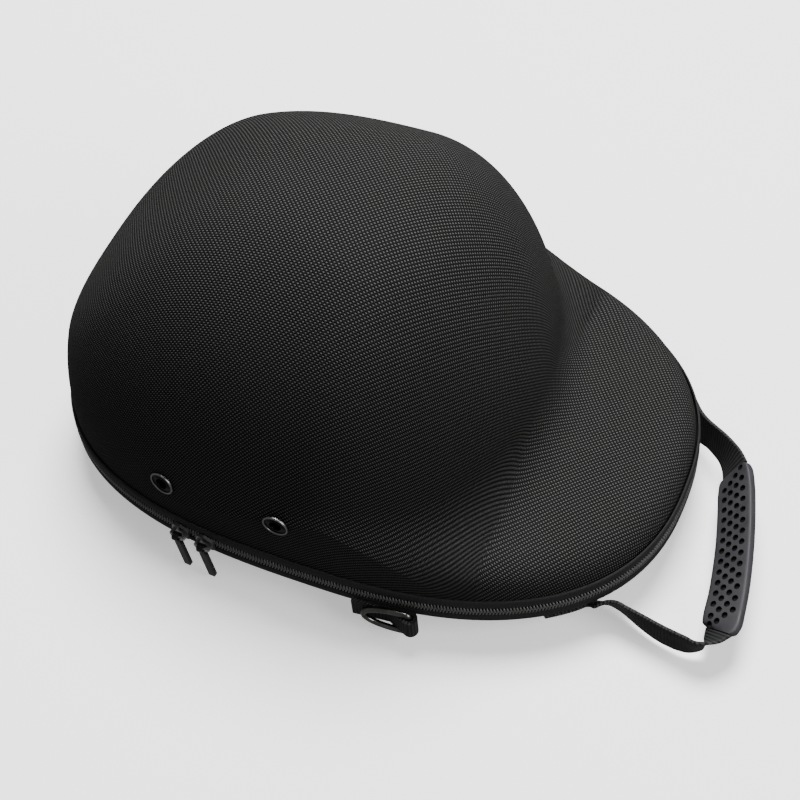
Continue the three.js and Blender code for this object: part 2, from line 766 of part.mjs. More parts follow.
// How far a flange moves out so that its foot clears the highest facet of the shell under it
function flangeLift(shell, matrix) {
  const normal = new THREE.Vector3(0, 1, 0).transformDirection(matrix);
  const inward = normal.clone().negate();
  const start = new THREE.Vector3().setFromMatrixPosition(matrix).addScaledVector(normal, 2 * WALL);
  let highest = -WALL;
  for (const share of [0.75, 1]) {
    for (let i = 0; i < 2 * EYELET_SIDES; i += 1) {
      const turn = (Math.PI * i) / EYELET_SIDES;
      const radius = share * EYELET_RADIUS;
      const foot = new THREE.Vector3(Math.sin(turn) * radius, 0, Math.cos(turn) * radius);
      const place = foot.transformDirection(matrix).multiplyScalar(radius).add(start);
      const hits = new THREE.Raycaster(place, inward).intersectObject(shell);
      if (hits.length > 0) {
        highest = Math.max(highest, 2 * WALL - hits[0].distance);
      }
    }
  }
  return Math.max(0, highest + EYELET_SEAT_CLEARANCE - GAP);
}

function addEyelets() {
  const shell = new THREE.Mesh(upperShell(), MATERIALS.shell_cloth);
  for (const side of SIDES) {
    for (const row of EYELET_ROWS) {
      const matrix = eyeletMatrix(side.turned(row.angle), row.rise * CROWN_HEIGHT);
      const lift = flangeLift(shell, matrix);
      matrix.multiply(new THREE.Matrix4().makeTranslation(0, lift, 0));
      addMesh(`eyelet_${side.name}_${row.name}`, eyeletBody(), 'eyelet_metal', matrix);
    }
  }
}

// D-rings and their tabs. The tab's own frame has X rearwards along the side, Y outwards and Z up,
// with its origin on the ring's bar.

const LOOP_INNER = RING_WIRE / 2 + GAP;
const LOOP_OUTER = LOOP_INNER + TAB_CLOTH;
const TAB_OFFSET = TAPE_FACE + GAP + TAB_STAND_OFF;

function tabMatrix(side) {
  const angle = side.turned(TAB_ANGLE);
  const turn = side.rearward * (TAB_LENGTH / outlineRadius(angle));
  const bar = outlinePoint(angle, TAB_OFFSET + LOOP_OUTER, RING_MIDDLE);
  const rear = outlinePoint(angle - turn, TAB_OFFSET + LOOP_OUTER, RING_MIDDLE);
  const along = rear.sub(bar).normalize();
  const up = new THREE.Vector3(0, 0, 1);
  const outwards = new THREE.Vector3().crossVectors(up, along).multiplyScalar(side.rearward);
  const matrix = new THREE.Matrix4().makeBasis(along.multiplyScalar(side.rearward), outwards, up);
  return matrix.setPosition(bar);
}

function tabBody(rearward) {
  const back = -LOOP_OUTER;
  const face = back + TAB_CLOTH;
  const fold = TAB_FOLD_ANGLE * RAD;
  const joinAt = (radius) => (radius - face * Math.sin(fold)) / Math.cos(fold);
  const outline = new THREE.Shape();
  outline.moveTo(TAB_LENGTH, back);
  outline.lineTo(TAB_LENGTH, face);
  outline.lineTo(joinAt(LOOP_OUTER), face);
  outline.absarc(0, 0, LOOP_OUTER, fold, (3 * Math.PI) / 2, false);
  outline.closePath();
  const eye = new THREE.Path();
  eye.absarc(0, 0, LOOP_INNER, fold, (3 * Math.PI) / 2, false);
  eye.lineTo(joinAt(LOOP_INNER), face);
  eye.closePath();
  outline.holes.push(eye);
  const geometry = new THREE.ExtrudeGeometry(outline, {
    depth: TAB_WIDTH,
    bevelEnabled: false,
    curveSegments: 8,
  });
  geometry.translate(0, 0, -TAB_WIDTH / 2);
  return mirroredSolid(geometry, rearward);
}

function mirroredSolid(geometry, rearward) {
  const solid = toSolid(geometry);
  return toGeometry(rearward < 0 ? solid.mirror([1, 0, 0]) : solid);
}

// Centre line of the ring: a straight bar through the origin, then a long round bow
function ringCentres(rearward) {
  const half = RING_HEIGHT / 2;
  const centres = [];
  for (let i = 0; i < RING_STEPS; i += 1) {
    const turn = (2 * Math.PI * i) / RING_STEPS;
    const bow = Math.cos(turn) > 0;
    const reach = bow ? RING_LENGTH - RING_CORNER : RING_CORNER;
    const power = bow ? RING_BOW_POWER : RING_BAR_POWER;
    const across = Math.abs(Math.cos(turn) / reach) ** power;
    const up = Math.abs(Math.sin(turn) / half) ** power;
    const radius = (across + up) ** (-1 / power);
    const x = RING_CORNER + radius * Math.cos(turn);
    centres.push(new THREE.Vector3(rearward * x, 0, radius * Math.sin(turn)));
  }
  return centres;
}

function ringBody(rearward) {
  const wire = RING_WIRE / 2;
  const centres = ringCentres(rearward);
  const rings = centres.map((centre, i) => {
    const before = centres[(i + centres.length - 1) % centres.length];
    const after = centres[(i + 1) % centres.length];
    const along = after.clone().sub(before).normalize();
    const inPlane = new THREE.Vector3(-along.z, 0, along.x);
    return Array.from({ length: RING_SIDES }, (_, j) => {
      const turn = (2 * Math.PI * (j + 0.5)) / RING_SIDES;
      const point = centre.clone().addScaledVector(inPlane, wire * Math.cos(turn));
      point.y += wire * Math.sin(turn);
      return point;
    });
  });
  return sweptBody(rings, null);
}

function addRings() {
  for (const side of SIDES) {
    const matrix = tabMatrix(side);
    addMesh(`ring_tab_${side.name}`, tabBody(side.rearward), 'webbing', matrix);
    addMesh(`d_ring_${side.name}`, ringBody(side.rearward), 'ring_metal', matrix);
  }
}

// Handle

// Section of a flat band: x across the band, y through its thickness
function bandSection(width, thickness) {
  const x = width / 2;
  const y = thickness / 2;
  const nick = thickness / 3;
  return [
    new THREE.Vector2(-x, 0),
    new THREE.Vector2(-x + nick, -y),
    new THREE.Vector2(-x / 3, -y),
    new THREE.Vector2(x / 3, -y),
    new THREE.Vector2(x - nick, -y),
    new THREE.Vector2(x, 0),
    new THREE.Vector2(x - nick, y),
    new THREE.Vector2(x / 3, y),
    new THREE.Vector2(-x / 3, y),
    new THREE.Vector2(-x + nick, y),
  ];
}

function handleEnd(side) {
  const past = HANDLE_PAST_SEAM / outlineRadius(side.turned(STRAP_SEWN_TO_ANGLE));
  const angle = side.turned(STRAP_SEWN_TO_ANGLE) + side.rearward * past;
  return outlinePoint(angle, HANDLE_STAND_OFF, HANDLE_RISE * HANDLE_END_RISE);
}

const HANDLE_POINTS = [
  handleEnd(SIDES[0]),
  ...HANDLE_ROUTE.map((row) => new THREE.Vector3(
    row.across * HALF_WIDTH,
    FRONT_Y - row.ahead * HANDLE_REACH,
    row.rise * HANDLE_RISE,
  )),
  handleEnd(SIDES[1]),
];
const HANDLE_LEANS = [
  HANDLE_END_LEAN_ANGLE,
  ...HANDLE_ROUTE.map((row) => row.lean),
  HANDLE_END_LEAN_ANGLE,
];
const HANDLE_CURVE = new THREE.CatmullRomCurve3(HANDLE_POINTS, false, 'centripetal');

// Frame of the handle at a distance along its route
function handleFrame(distance) {
  const share = Math.min(1, Math.max(0, distance / HANDLE_CURVE.getLength()));
  const raw = HANDLE_CURVE.getUtoTmapping(share) * (HANDLE_LEANS.length - 1);
  const row = Math.min(HANDLE_LEANS.length - 2, Math.floor(raw));
  const lean = RAD * THREE.MathUtils.lerp(HANDLE_LEANS[row], HANDLE_LEANS[row + 1], raw - row);
  const along = HANDLE_CURVE.getTangentAt(share);
  const outer = new THREE.Vector3(along.y, -along.x, 0).normalize();
  const across = outer.multiplyScalar(Math.sin(lean)).add(new THREE.Vector3(0, 0, Math.cos(lean)));
  across.addScaledVector(along, -across.dot(along)).normalize();
  const through = new THREE.Vector3().crossVectors(along, across);
  return { centre: HANDLE_CURVE.getPointAt(share), across, along, through };
}

function handleRing(section, distance, widthShare, thicknessShare) {
  const { centre, across, through } = handleFrame(distance);
  return section.map((s) => centre.clone()
    .addScaledVector(across, s.x * widthShare)
    .addScaledVector(through, s.y * thicknessShare));
}

// Angle on the tray's rounded edge that lies a given length below another
function edgeAngleBelow(start, length) {
  const step = 0.002;
  let angle = start;
  let done = 0;
  while (done < length && angle < Math.PI / 2) {
    done += step * Math.hypot(EDGE_INSET * Math.sin(angle), EDGE_DEPTH * Math.cos(angle));
    angle += step;
  }
  return angle;
}

// The webbing where it is sewn flat to the tray's rounded edge
function sewnRing(section, planAngle) {
  const top = STRAP_TOP_ANGLE * RAD;
  const low = edgeAngleBelow(top, STRAP_WIDTH);
  const stand = GAP + STRAP_THICKNESS / 2;
  return section.map((s) => {
    const edge = THREE.MathUtils.lerp(low, top, s.x / STRAP_WIDTH + 0.5);
    const normal = new THREE.Vector2(Math.cos(edge) / EDGE_INSET, -Math.sin(edge) / EDGE_DEPTH);
    normal.normalize();
    const offset = -EDGE_INSET * (1 - Math.cos(edge)) + normal.x * (stand + s.y);
    const z = EDGE_DEPTH * (1 - Math.sin(edge)) + normal.y * (stand + s.y);
    return outlinePoint(planAngle, offset, z);
  });
}

function sewnRings(section, side) {
  const rings = [];
  for (let i = 0; i <= SEWN_STEPS; i += 1) {
    const angle = THREE.MathUtils.lerp(STRAP_SEWN_FROM_ANGLE, STRAP_SEWN_TO_ANGLE, i / SEWN_STEPS);
    rings.push(sewnRing(section, side.turned(angle)));
  }
  return rings;
}

function freeRings(section, from, to, steps) {
  const rings = [];
  for (let i = 0; i <= steps; i += 1) {
    rings.push(handleRing(section, THREE.MathUtils.lerp(from, to, i / steps), 1, 1));
  }
  return rings;
}

const GRIP_FROM = HANDLE_CURVE.getLength() * GRIP_MIDDLE_SHARE - GRIP_LENGTH / 2;
const GRIP_TO = GRIP_FROM + GRIP_LENGTH;

function gripHoles() {
  const depth = 2 * GRIP_HOLE_DEPTH;
  const drill = new THREE.CylinderGeometry(GRIP_HOLE, GRIP_HOLE, depth, GRIP_HOLE_SIDES);
  drill.rotateX(Math.PI / 2);
  const rows = Math.floor((GRIP_LENGTH - 2 * GRIP_END_MARGIN) / GRIP_HOLE_PITCH);
  const holes = [];
  for (let row = 0; row <= rows; row += 1) {
    for (let column = 0; column < GRIP_HOLES_ACROSS; column += 1) {
      const share = column - (GRIP_HOLES_ACROSS - 1) / 2;
      const middle = (GRIP_FROM + GRIP_TO) / 2 + (row - rows / 2) * GRIP_HOLE_PITCH;
      const frame = handleFrame(middle + (share * GRIP_HOLE_PITCH) / GRIP_HOLES_ACROSS);
      const centre = frame.centre.clone()
        .addScaledVector(frame.across, share * GRIP_HOLE_SPREAD)
        .addScaledVector(frame.through, -GRIP_THICKNESS / 2);
      const basis = new THREE.Matrix4().makeBasis(frame.along, frame.across, frame.through);
      holes.push(toSolid(drill, basis.setPosition(centre)));
    }
  }
  return holes;
}

function gripBody() {
  const section = bandSection(GRIP_WIDTH, GRIP_THICKNESS);
  const endRing = (from, end) => handleRing(section, from, end.width, end.thickness);
  const first = GRIP_ENDS.map((end) => endRing(GRIP_FROM + end.inset * GRIP_WIDTH, end));
  const last = GRIP_ENDS.map((end) => endRing(GRIP_TO - end.inset * GRIP_WIDTH, end)).reverse();
  const middle = [];
  for (let i = 0; i <= GRIP_STEPS; i += 1) {
    const from = GRIP_FROM + GRIP_END_MARGIN;
    const distance = THREE.MathUtils.lerp(from, GRIP_TO - GRIP_END_MARGIN, i / GRIP_STEPS);
    middle.push(handleRing(section, distance, 1, 1));
  }
  let solid = toSolid(sweptBody([...first, ...middle, ...last], section));
  for (const hole of gripHoles()) {
    solid = solid.subtract(hole);
  }
  return toGeometry(solid);
}

function addHandle() {
  const section = bandSection(STRAP_WIDTH, STRAP_THICKNESS);
  const length = HANDLE_CURVE.getLength();
  const nearFree = freeRings(section, 0, GRIP_FROM - GAP, NEAR_STRAP_STEPS);
  const farFree = freeRings(section, GRIP_TO + GAP, length, FAR_STRAP_STEPS);
  const nearRings = [...sewnRings(section, SIDES[0]), ...nearFree];
  const farRings = [...farFree, ...sewnRings(section, SIDES[1]).reverse()];
  addMesh('handle_strap_near', sweptBody(nearRings, section), 'webbing');
  addMesh('handle_grip', gripBody(), 'grip_rubber');
  addMesh('handle_strap_far', sweptBody(farRings, section), 'webbing');
}

addMesh('upper_shell', upperShell(), 'shell_cloth');
addMesh('lower_shell', lowerShell(), 'tray_cloth');
addSeam();
addSliders();
addEyelets();
addRings();
addHandle();

export default carrier;
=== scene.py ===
"""Looks of the baseball cap carrier case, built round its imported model. Sizes below are in millimetres."""

import math

import bmesh
import bpy
import numpy as np
from mathutils import Matrix, Vector
from mathutils.geometry import tessellate_polygon


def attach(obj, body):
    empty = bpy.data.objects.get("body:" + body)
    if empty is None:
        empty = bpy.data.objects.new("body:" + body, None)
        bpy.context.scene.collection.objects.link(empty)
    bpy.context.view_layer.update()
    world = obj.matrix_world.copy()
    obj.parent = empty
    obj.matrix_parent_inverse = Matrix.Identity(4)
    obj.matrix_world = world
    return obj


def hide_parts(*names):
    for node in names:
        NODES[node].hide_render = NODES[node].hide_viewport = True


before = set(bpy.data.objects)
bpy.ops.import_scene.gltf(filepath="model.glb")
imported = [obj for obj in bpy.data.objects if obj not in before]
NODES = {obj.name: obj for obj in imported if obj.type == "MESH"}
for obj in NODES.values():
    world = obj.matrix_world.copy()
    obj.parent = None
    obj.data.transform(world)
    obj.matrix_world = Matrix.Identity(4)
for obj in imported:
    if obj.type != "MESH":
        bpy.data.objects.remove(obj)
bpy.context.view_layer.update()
RAD, MM = math.pi / 180, 0.001


def mirrored(angle):
    """Plan angle on the far side, across the plane of symmetry."""
    return 540 - angle


# Sizes of the shells, the seam and the small parts, as in the model
HALF_WIDTH, REAR_REACH, FRONT_REACH = 96.5, 152.0, 138.0
REAR_POWER, FRONT_POWER, WIDEST_Y = 2.72, 2.41, -7.0
WALL, TRAY_DEPTH, RIM_LAND, EDGE_INSET = 3.0, 20.4, 1.0, 28.0
ZIP_HEIGHT, GAP = 4.8, 0.3
CROWN_HEIGHT, CROWN_POWER, CROWN_FRONT, CROWN_FRONT_POWER = 147.6, 2.115, 75.2, 2.07
CROWN_FIRMNESS = 80.0
REAR_FACET_ANGLE, REAR_FACET_REACH, REAR_FACET_BLEND = 47.9, 155.2, 22.2
TOP_FACET_ANGLE, TOP_FACET_CLEARANCE, TOP_FACET_BLEND = 8.0, 15.84, 29.4
BRIM_HEIGHT, BRIM_MIDDLE, BRIM_RISE, BRIM_TAIL, BRIM_FALL = 20.6, 90.0, 0.107, 10.0, 0.375
BRIM_EDGE_BLEND, CREASE_BLEND = 18.1, 21.1
CHAIN_DEPTH, UPPER_TAPE_HEIGHT, LOWER_TAPE_HEIGHT = 1.2, 5.0, 4.6
TAPE_THICKNESS, HINGE_HALF_ANGLE, HINGE_MARGIN, HINGE_END_GAP = 1.2, 25.0, 6.5, 0.4
EYELET_RADIUS, EYELET_LIP, EYELET_FLOOR, EYELET_BARREL, EYELET_BORE = 6.0, 0.9, 0.4, 3.6, 2.6
EYELETS = [  # name, plan angle, height as a share of CROWN_HEIGHT
    ("near_rear", 142.3, 0.1714),
    ("near_front", 172.8, 0.21),
    ("far_rear", mirrored(142.3), 0.1714),
    ("far_front", mirrored(172.8), 0.21),
]
RING_WIRE, RING_LENGTH, RING_HEIGHT, RING_DROP, RING_CORNER = 2.8, 21.0, 14.0, 5.9, 5.0
RING_BOW_POWER, RING_BAR_POWER = 2.1, 7.0
TAB_CLOTH, TAB_WIDTH, TAB_LENGTH, TAB_ANGLE, TAB_STAND_OFF = 1.8, 10.6, 27.0, 206.5, 0.3
TAB_FOLD_ANGLE = 60.0
STRAP_WIDTH, STRAP_THICKNESS, STRAP_SEWN_FROM, STRAP_SEWN_TO = 16.0, 1.8, 233.5, 241.5
STRAP_TOP_ANGLE, HANDLE_REACH, HANDLE_DROP = 14.0, 30.0, 4.9
HANDLE_PAST_SEAM, HANDLE_STAND_OFF = 4.0, -0.3
HANDLE_END_LEAN, HANDLE_END_RISE = 38.0, 0.66
GRIP_LENGTH, GRIP_MIDDLE_SHARE, GRIP_WIDTH, GRIP_THICKNESS = 80.0, 0.514, 18.5, 4.6
HANDLE_ROUTE = [  # across, ahead, rise, lean
    (-0.59, -0.45, 0.729, 22),
    (-0.605, -0.226, 0.71, 17),
    (-0.631, 0.042, 0.69, 9),
    (-0.656, 0.335, 0.684, 5),
    (-0.671, 0.616, 0.71, 6),
    (-0.671, 0.834, 0.761, 12),
    (-0.653, 0.988, 0.839, 26),
    (-0.573, 1.124, 0.955, 56),
    (-0.491, 1.104, 1.032, 61),
    (-0.375, 1.063, 1.129, 57),
    (-0.142, 0.918, 1.258, 52),
    (0.099, 0.707, 1.323, 49),
    (0.227, 0.565, 1.29, 36),
    (0.333, 0.32, 1.161, 14),
    (0.42, 0, 0.97, 6),
    (0.484, -0.25, 0.8, 14),
]

RIM_Z = TRAY_DEPTH + GAP + ZIP_HEIGHT + GAP
ZIP_Z = TRAY_DEPTH + GAP + ZIP_HEIGHT / 2
FRONT_Y = WIDEST_Y - FRONT_REACH
EDGE_DEPTH = TRAY_DEPTH - RIM_LAND
HANDLE_RISE = TRAY_DEPTH - HANDLE_DROP
RING_MIDDLE = TRAY_DEPTH - RING_DROP
TAPE_FACE = GAP + TAPE_THICKNESS
CORE = np.array([0.0, WIDEST_Y - CROWN_FRONT / 5, RIM_Z])
TOP_FACET_REACH = CROWN_HEIGHT * math.cos(TOP_FACET_ANGLE * RAD) + TOP_FACET_CLEARANCE


# Camera at the photograph's viewing angle

CAMERA_EYE = Vector((-445.1, -242.0, 692.4))
CAMERA_TARGET = Vector((-16.6, -18.0, 55.1))
CAMERA_ROLL = -6.02
FOCAL_PIXELS, PHOTO_PIXELS = 1810.5, 800
SENSOR_WIDTH = 36


def add_camera():
    roll = CAMERA_ROLL * RAD
    forward = (CAMERA_TARGET - CAMERA_EYE).normalized()
    level = forward.cross(Vector((0, 0, 1))).normalized()
    upright = level.cross(forward)
    right = math.cos(roll) * level + math.sin(roll) * upright
    up = -math.sin(roll) * level + math.cos(roll) * upright
    data = bpy.data.cameras.new("camera")
    data.sensor_width = SENSOR_WIDTH
    data.lens = SENSOR_WIDTH * FOCAL_PIXELS / PHOTO_PIXELS
    data.clip_start, data.clip_end = 0.01, 50
    camera = bpy.data.objects.new("camera", data)
    turn = Matrix((right, up, -forward)).transposed().to_4x4()
    camera.matrix_world = Matrix.Translation(CAMERA_EYE * MM) @ turn
    bpy.context.scene.collection.objects.link(camera)
    bpy.context.scene.camera = camera


add_camera()


# Forms: the same outline and field as the model, on whole arrays of points


def unit(v):
    return v / np.linalg.norm(v, axis=-1, keepdims=True)


def run_along(points):
    """Length of a path at each of its points, from 0."""
    step = np.linalg.norm(np.diff(points, axis=0), axis=1)
    return np.concatenate([[0], np.cumsum(step)])


def outline_radius(a):
    rear = np.sin(a) > 0
    reach = np.where(rear, REAR_REACH, FRONT_REACH)
    power = np.where(rear, REAR_POWER, FRONT_POWER)
    across = np.abs(np.cos(a) / HALF_WIDTH) ** power
    along = np.abs(np.sin(a) / reach) ** power
    return (across + along) ** (-1 / power)


def outline_normal(a):
    step = 1e-3
    ahead, behind = outline_radius(a + step), outline_radius(a - step)
    dx = np.cos(a + step) * ahead - np.cos(a - step) * behind
    dy = np.sin(a + step) * ahead - np.sin(a - step) * behind
    return unit(np.stack([dy, -dx, 0 * dx], -1))


def outline_point(a, offset, z):
    a, offset, z = np.broadcast_arrays(np.asarray(a, float), offset, z)
    r, n = outline_radius(a), outline_normal(a)
    x = np.cos(a) * r + n[..., 0] * offset
    y = WIDEST_Y + np.sin(a) * r + n[..., 1] * offset
    return np.stack([x, y, z + 0 * x], -1)


def even_angles(count):
    """Plan angles that divide the outline into equal lengths, starting at the rear."""
    fine = np.linspace(0, 2 * math.pi, 5761) + math.pi / 2
    p = outline_point(fine, 0, 0)
    run = run_along(p)
    return np.interp(np.arange(count) * run[-1] / count, run, fine)


def band_angles(start, end, spacing):
    """Plan angles from start to end at equal spacing in length, and the length at each."""
    fine = np.linspace(start, end, 4001)
    p = outline_point(fine, 0, 0)
    run = run_along(p)
    count = int(round(run[-1] / spacing))
    at = np.linspace(0, run[-1], count + 1)
    return np.interp(at, run, fine), at


def soft_max(a, b, blend):
    h = np.clip(0.5 + 0.5 * (a - b) / blend, 0, 1)
    return b * (1 - h) + a * h + blend * h * (1 - h)


def soft_min(a, b, blend):
    return -soft_max(-a, -b, blend)


def case_field(p):
    x, y, z = p[..., 0], p[..., 1] - WIDEST_Y, p[..., 2] - RIM_Z
    wall = np.hypot(x, y) - outline_radius(np.arctan2(y, x))
    reach = np.where(y > 0, REAR_REACH, CROWN_FRONT)
    power = np.where(y > 0, REAR_POWER, CROWN_FRONT_POWER)
    level = (np.abs(x / HALF_WIDTH) ** power + np.abs(y / reach) ** power) ** (1 / power)
    height = np.maximum(z, 0) / CROWN_HEIGHT
    dome = (level**CROWN_POWER + height**CROWN_POWER) ** (1 / CROWN_POWER)
    rear, top = REAR_FACET_ANGLE * RAD, TOP_FACET_ANGLE * RAD
    rear_facet = y * math.sin(rear) + z * math.cos(rear) - REAR_FACET_REACH
    top_facet = -y * math.sin(top) + z * math.cos(top) - TOP_FACET_REACH
    crown = soft_max((dome - 1) * CROWN_FIRMNESS, rear_facet, REAR_FACET_BLEND)
    crown = np.maximum(soft_max(crown, top_facet, TOP_FACET_BLEND), wall)
    climb = BRIM_RISE * np.minimum(y + BRIM_MIDDLE, BRIM_MIDDLE - BRIM_TAIL)
    fall = BRIM_FALL * np.maximum(y + BRIM_TAIL, 0)
    brim = soft_max(wall, z - (BRIM_HEIGHT + climb - fall), BRIM_EDGE_BLEND)
    return np.maximum(soft_min(crown, brim, CREASE_BLEND), wall)


def tray_field(p):
    """Roughly the tray's side and underside, for laying out its cloth."""
    x, y, z = p[..., 0], p[..., 1] - WIDEST_Y, p[..., 2]
    wall = np.hypot(x, y) - outline_radius(np.arctan2(y, x))
    down = np.clip(1 - z / EDGE_DEPTH, 0, 1)
    inset = EDGE_INSET * (1 - np.sqrt(np.maximum(0, 1 - down * down)))
    return np.maximum(wall + inset, -z)


def field_normal(field, p):
    step = 0.05
    slope = []
    for axis in range(3):
        d = np.zeros(3)
        d[axis] = step
        slope.append(field(p + d) - field(p - d))
    return unit(np.stack(slope, -1))


def on_ray(field, origin, direction):
    near = np.zeros(direction.shape[:-1])
    far = near + 3 * (REAR_REACH + CROWN_HEIGHT)
    for _ in range(34):
        middle = (near + far) / 2
        inside = field(origin + direction * middle[..., None]) < 0
        near, far = np.where(inside, middle, near), np.where(inside, far, middle)
    return origin + direction * near[..., None]


def drape(field, axis_z, down):
    """Lengths along the two yarn directions of cloth laid over a form, as a function of place.

    Slices across the case carry the first length; the second adds up along lines of equal first length.
    """
    sign = -1.0 if down else 1.0
    ys = np.linspace(math.pi, 0, 341)
    spine = np.stack([0 * ys, np.cos(ys), sign * np.sin(ys)], -1)
    spine = on_ray(field, np.array([0, WIDEST_Y, axis_z]), spine)
    run = run_along(spine)
    slices = np.interp(np.linspace(0, run[-1], 260), run, spine[:, 1])
    slices = np.clip(slices, FRONT_Y + 0.05, WIDEST_Y + REAR_REACH - 0.05)
    slices = np.maximum.accumulate(slices + np.arange(len(slices)) * 1e-6)
    turn = np.linspace(0, math.pi / 2, 121)
    spoke = np.stack([np.sin(turn), 0 * turn, sign * np.cos(turn)], -1)
    origins = np.stack([0 * slices, slices, 0 * slices + axis_z], -1)[:, None, :]
    shape = on_ray(field, origins, np.broadcast_to(spoke, (len(slices), len(turn), 3)))
    step = np.linalg.norm(np.diff(shape, axis=1), axis=2)
    across = np.concatenate([np.zeros((len(slices), 1)), np.cumsum(step, axis=1)], 1)
    marks = np.arange(0, across.max() + 4, 2.0)
    lines = np.stack([
        np.stack([np.interp(marks, across[k], shape[k, :, c]) for c in range(3)], -1)
        for k in range(len(slices))
    ])
    stride = np.linalg.norm(np.diff(lines, axis=0), axis=2)
    beyond = marks[None, :] > np.minimum(across[1:, -1], across[:-1, -1])[:, None]
    last = np.maximum((~beyond).sum(1) - 1, 0)
    stride = np.where(beyond, stride[np.arange(len(stride)), last][:, None], stride)
    along = np.concatenate([np.zeros((1, len(marks))), np.cumsum(stride, axis=0)], 0)
    middle = int(np.searchsorted(slices, WIDEST_Y))
    along -= along[middle]

    def lengths(p):
        k = np.interp(p[:, 1], slices, np.arange(len(slices)))
        t = np.arctan2(np.abs(p[:, 0]), np.maximum(sign * (p[:, 2] - axis_z), 0))
        u = sample(across, k, t / turn[1])
        return np.stack([np.copysign(u, p[:, 0]), sample(along, k, u / 2.0)], -1)

    return lengths


def sample(table, i, j):
    i = np.clip(i, 0, table.shape[0] - 1.001)
    j = np.clip(j, 0, table.shape[1] - 1.001)
    a, b = i.astype(int), j.astype(int)
    fa, fb = i - a, j - b
    low = table[a, b] * (1 - fb) + table[a, b + 1] * fb
    high = table[a + 1, b] * (1 - fb) + table[a + 1, b + 1] * fb
    return low * (1 - fa) + high * fa


# Meshes


def make(name, points, faces, uv=None, body="root", stands_for=(), sharp=40):
    """A smooth-shaded object from points in millimetres; uv is in millimetres too, one for each point."""
    mesh = bpy.data.meshes.new(name)
    mesh.from_pydata((np.asarray(points, float) * MM).tolist(), [], [tuple(f) for f in faces])
    if uv is not None:
        loops = np.zeros(len(mesh.loops), int)
        mesh.loops.foreach_get("vertex_index", loops)
        layer = mesh.uv_layers.new(name="cloth")
        layer.data.foreach_set("uv", (np.asarray(uv)[loops] * MM).astype(np.float32).ravel())
    obj = bpy.data.objects.new(name, mesh)
    bpy.context.scene.collection.objects.link(obj)
    finish_normals(mesh, sharp)
    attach(obj, body)
    if stands_for:
        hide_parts(*stands_for)
    return obj


def finish_normals(mesh, sharp):
    b = bmesh.new()
    b.from_mesh(mesh)
    bmesh.ops.recalc_face_normals(b, faces=b.faces)
    b.to_mesh(mesh)
    b.free()
    mesh.shade_smooth()
    mesh.set_sharp_from_angle(angle=sharp * RAD)


def quads(rows, columns, wrap=True, first=0):
    faces = []
    for i in range(rows - 1):
        for j in range(columns if wrap else columns - 1):
            k = (j + 1) % columns
            a, b = first + i * columns, first + (i + 1) * columns
            faces.append((a + j, a + k, b + k, b + j))
    return faces


def bowl(start, rings, end):
    """Points and faces of a closed skin whose rings close on two end points."""
    size = len(rings[0])
    points = np.concatenate([[start], *rings, [end]])
    faces = quads(len(rings), size, first=1)
    last = 1 + (len(rings) - 1) * size
    for j in range(size):
        k = (j + 1) % size
        faces.append((0, 1 + k, 1 + j))
        faces.append((len(points) - 1, last + j, last + k))
    return points, faces


def swept(rings, lids=True):
    """Points and faces of a band of rings, with flat lids or closed on itself."""
    rings = np.asarray(rings)
    count, size = rings.shape[:2]
    faces = quads(count, size)
    if lids:
        faces.append(tuple(range(size)))
        faces.append(tuple(reversed(range((count - 1) * size, count * size))))
    else:
        base = (count - 1) * size
        for j in range(size):
            k = (j + 1) % size
            faces.append((base + j, base + k, k, j))
    return rings.reshape(-1, 3), faces


def cut(obj, cutters):
    """Cuts closed meshes out of obj and removes them."""
    for cutter in cutters:
        modifier = obj.modifiers.new("cut", "BOOLEAN")
        modifier.operation = "DIFFERENCE"
        modifier.object = cutter
        modifier.solver = "EXACT"
        modifier.material_mode = "TRANSFER"
    graph = bpy.context.evaluated_depsgraph_get()
    done = bpy.data.meshes.new_from_object(obj.evaluated_get(graph))
    obj.modifiers.clear()
    obj.data = done
    for cutter in cutters:
        bpy.data.objects.remove(cutter)


def place(points, matrix):
    points = np.asarray(points, float)
    m = np.array(matrix)
    return points @ m[:3, :3].T + m[:3, 3]


def basis(x, y, z, origin):
    m = np.eye(4)
    m[:3, 0], m[:3, 1], m[:3, 2], m[:3, 3] = x, y, z, origin
    return m


def rounded_band(width, thickness, per_side=10, power=3.2):
    """Section of a flat band with soft edges: a list of (across, through)."""
    turn = np.linspace(0, 2 * math.pi, 4 * per_side, endpoint=False)
    c, s = np.cos(turn), np.sin(turn)
    edge = thickness / 2
    x = (width / 2 - edge) * np.clip(c * 1.6, -1, 1) + edge * np.sign(c) * np.abs(c) ** (2 / power)
    y = edge * np.sign(s) * np.abs(s) ** (2 / power)
    return np.stack([x, y], -1)


# Materials


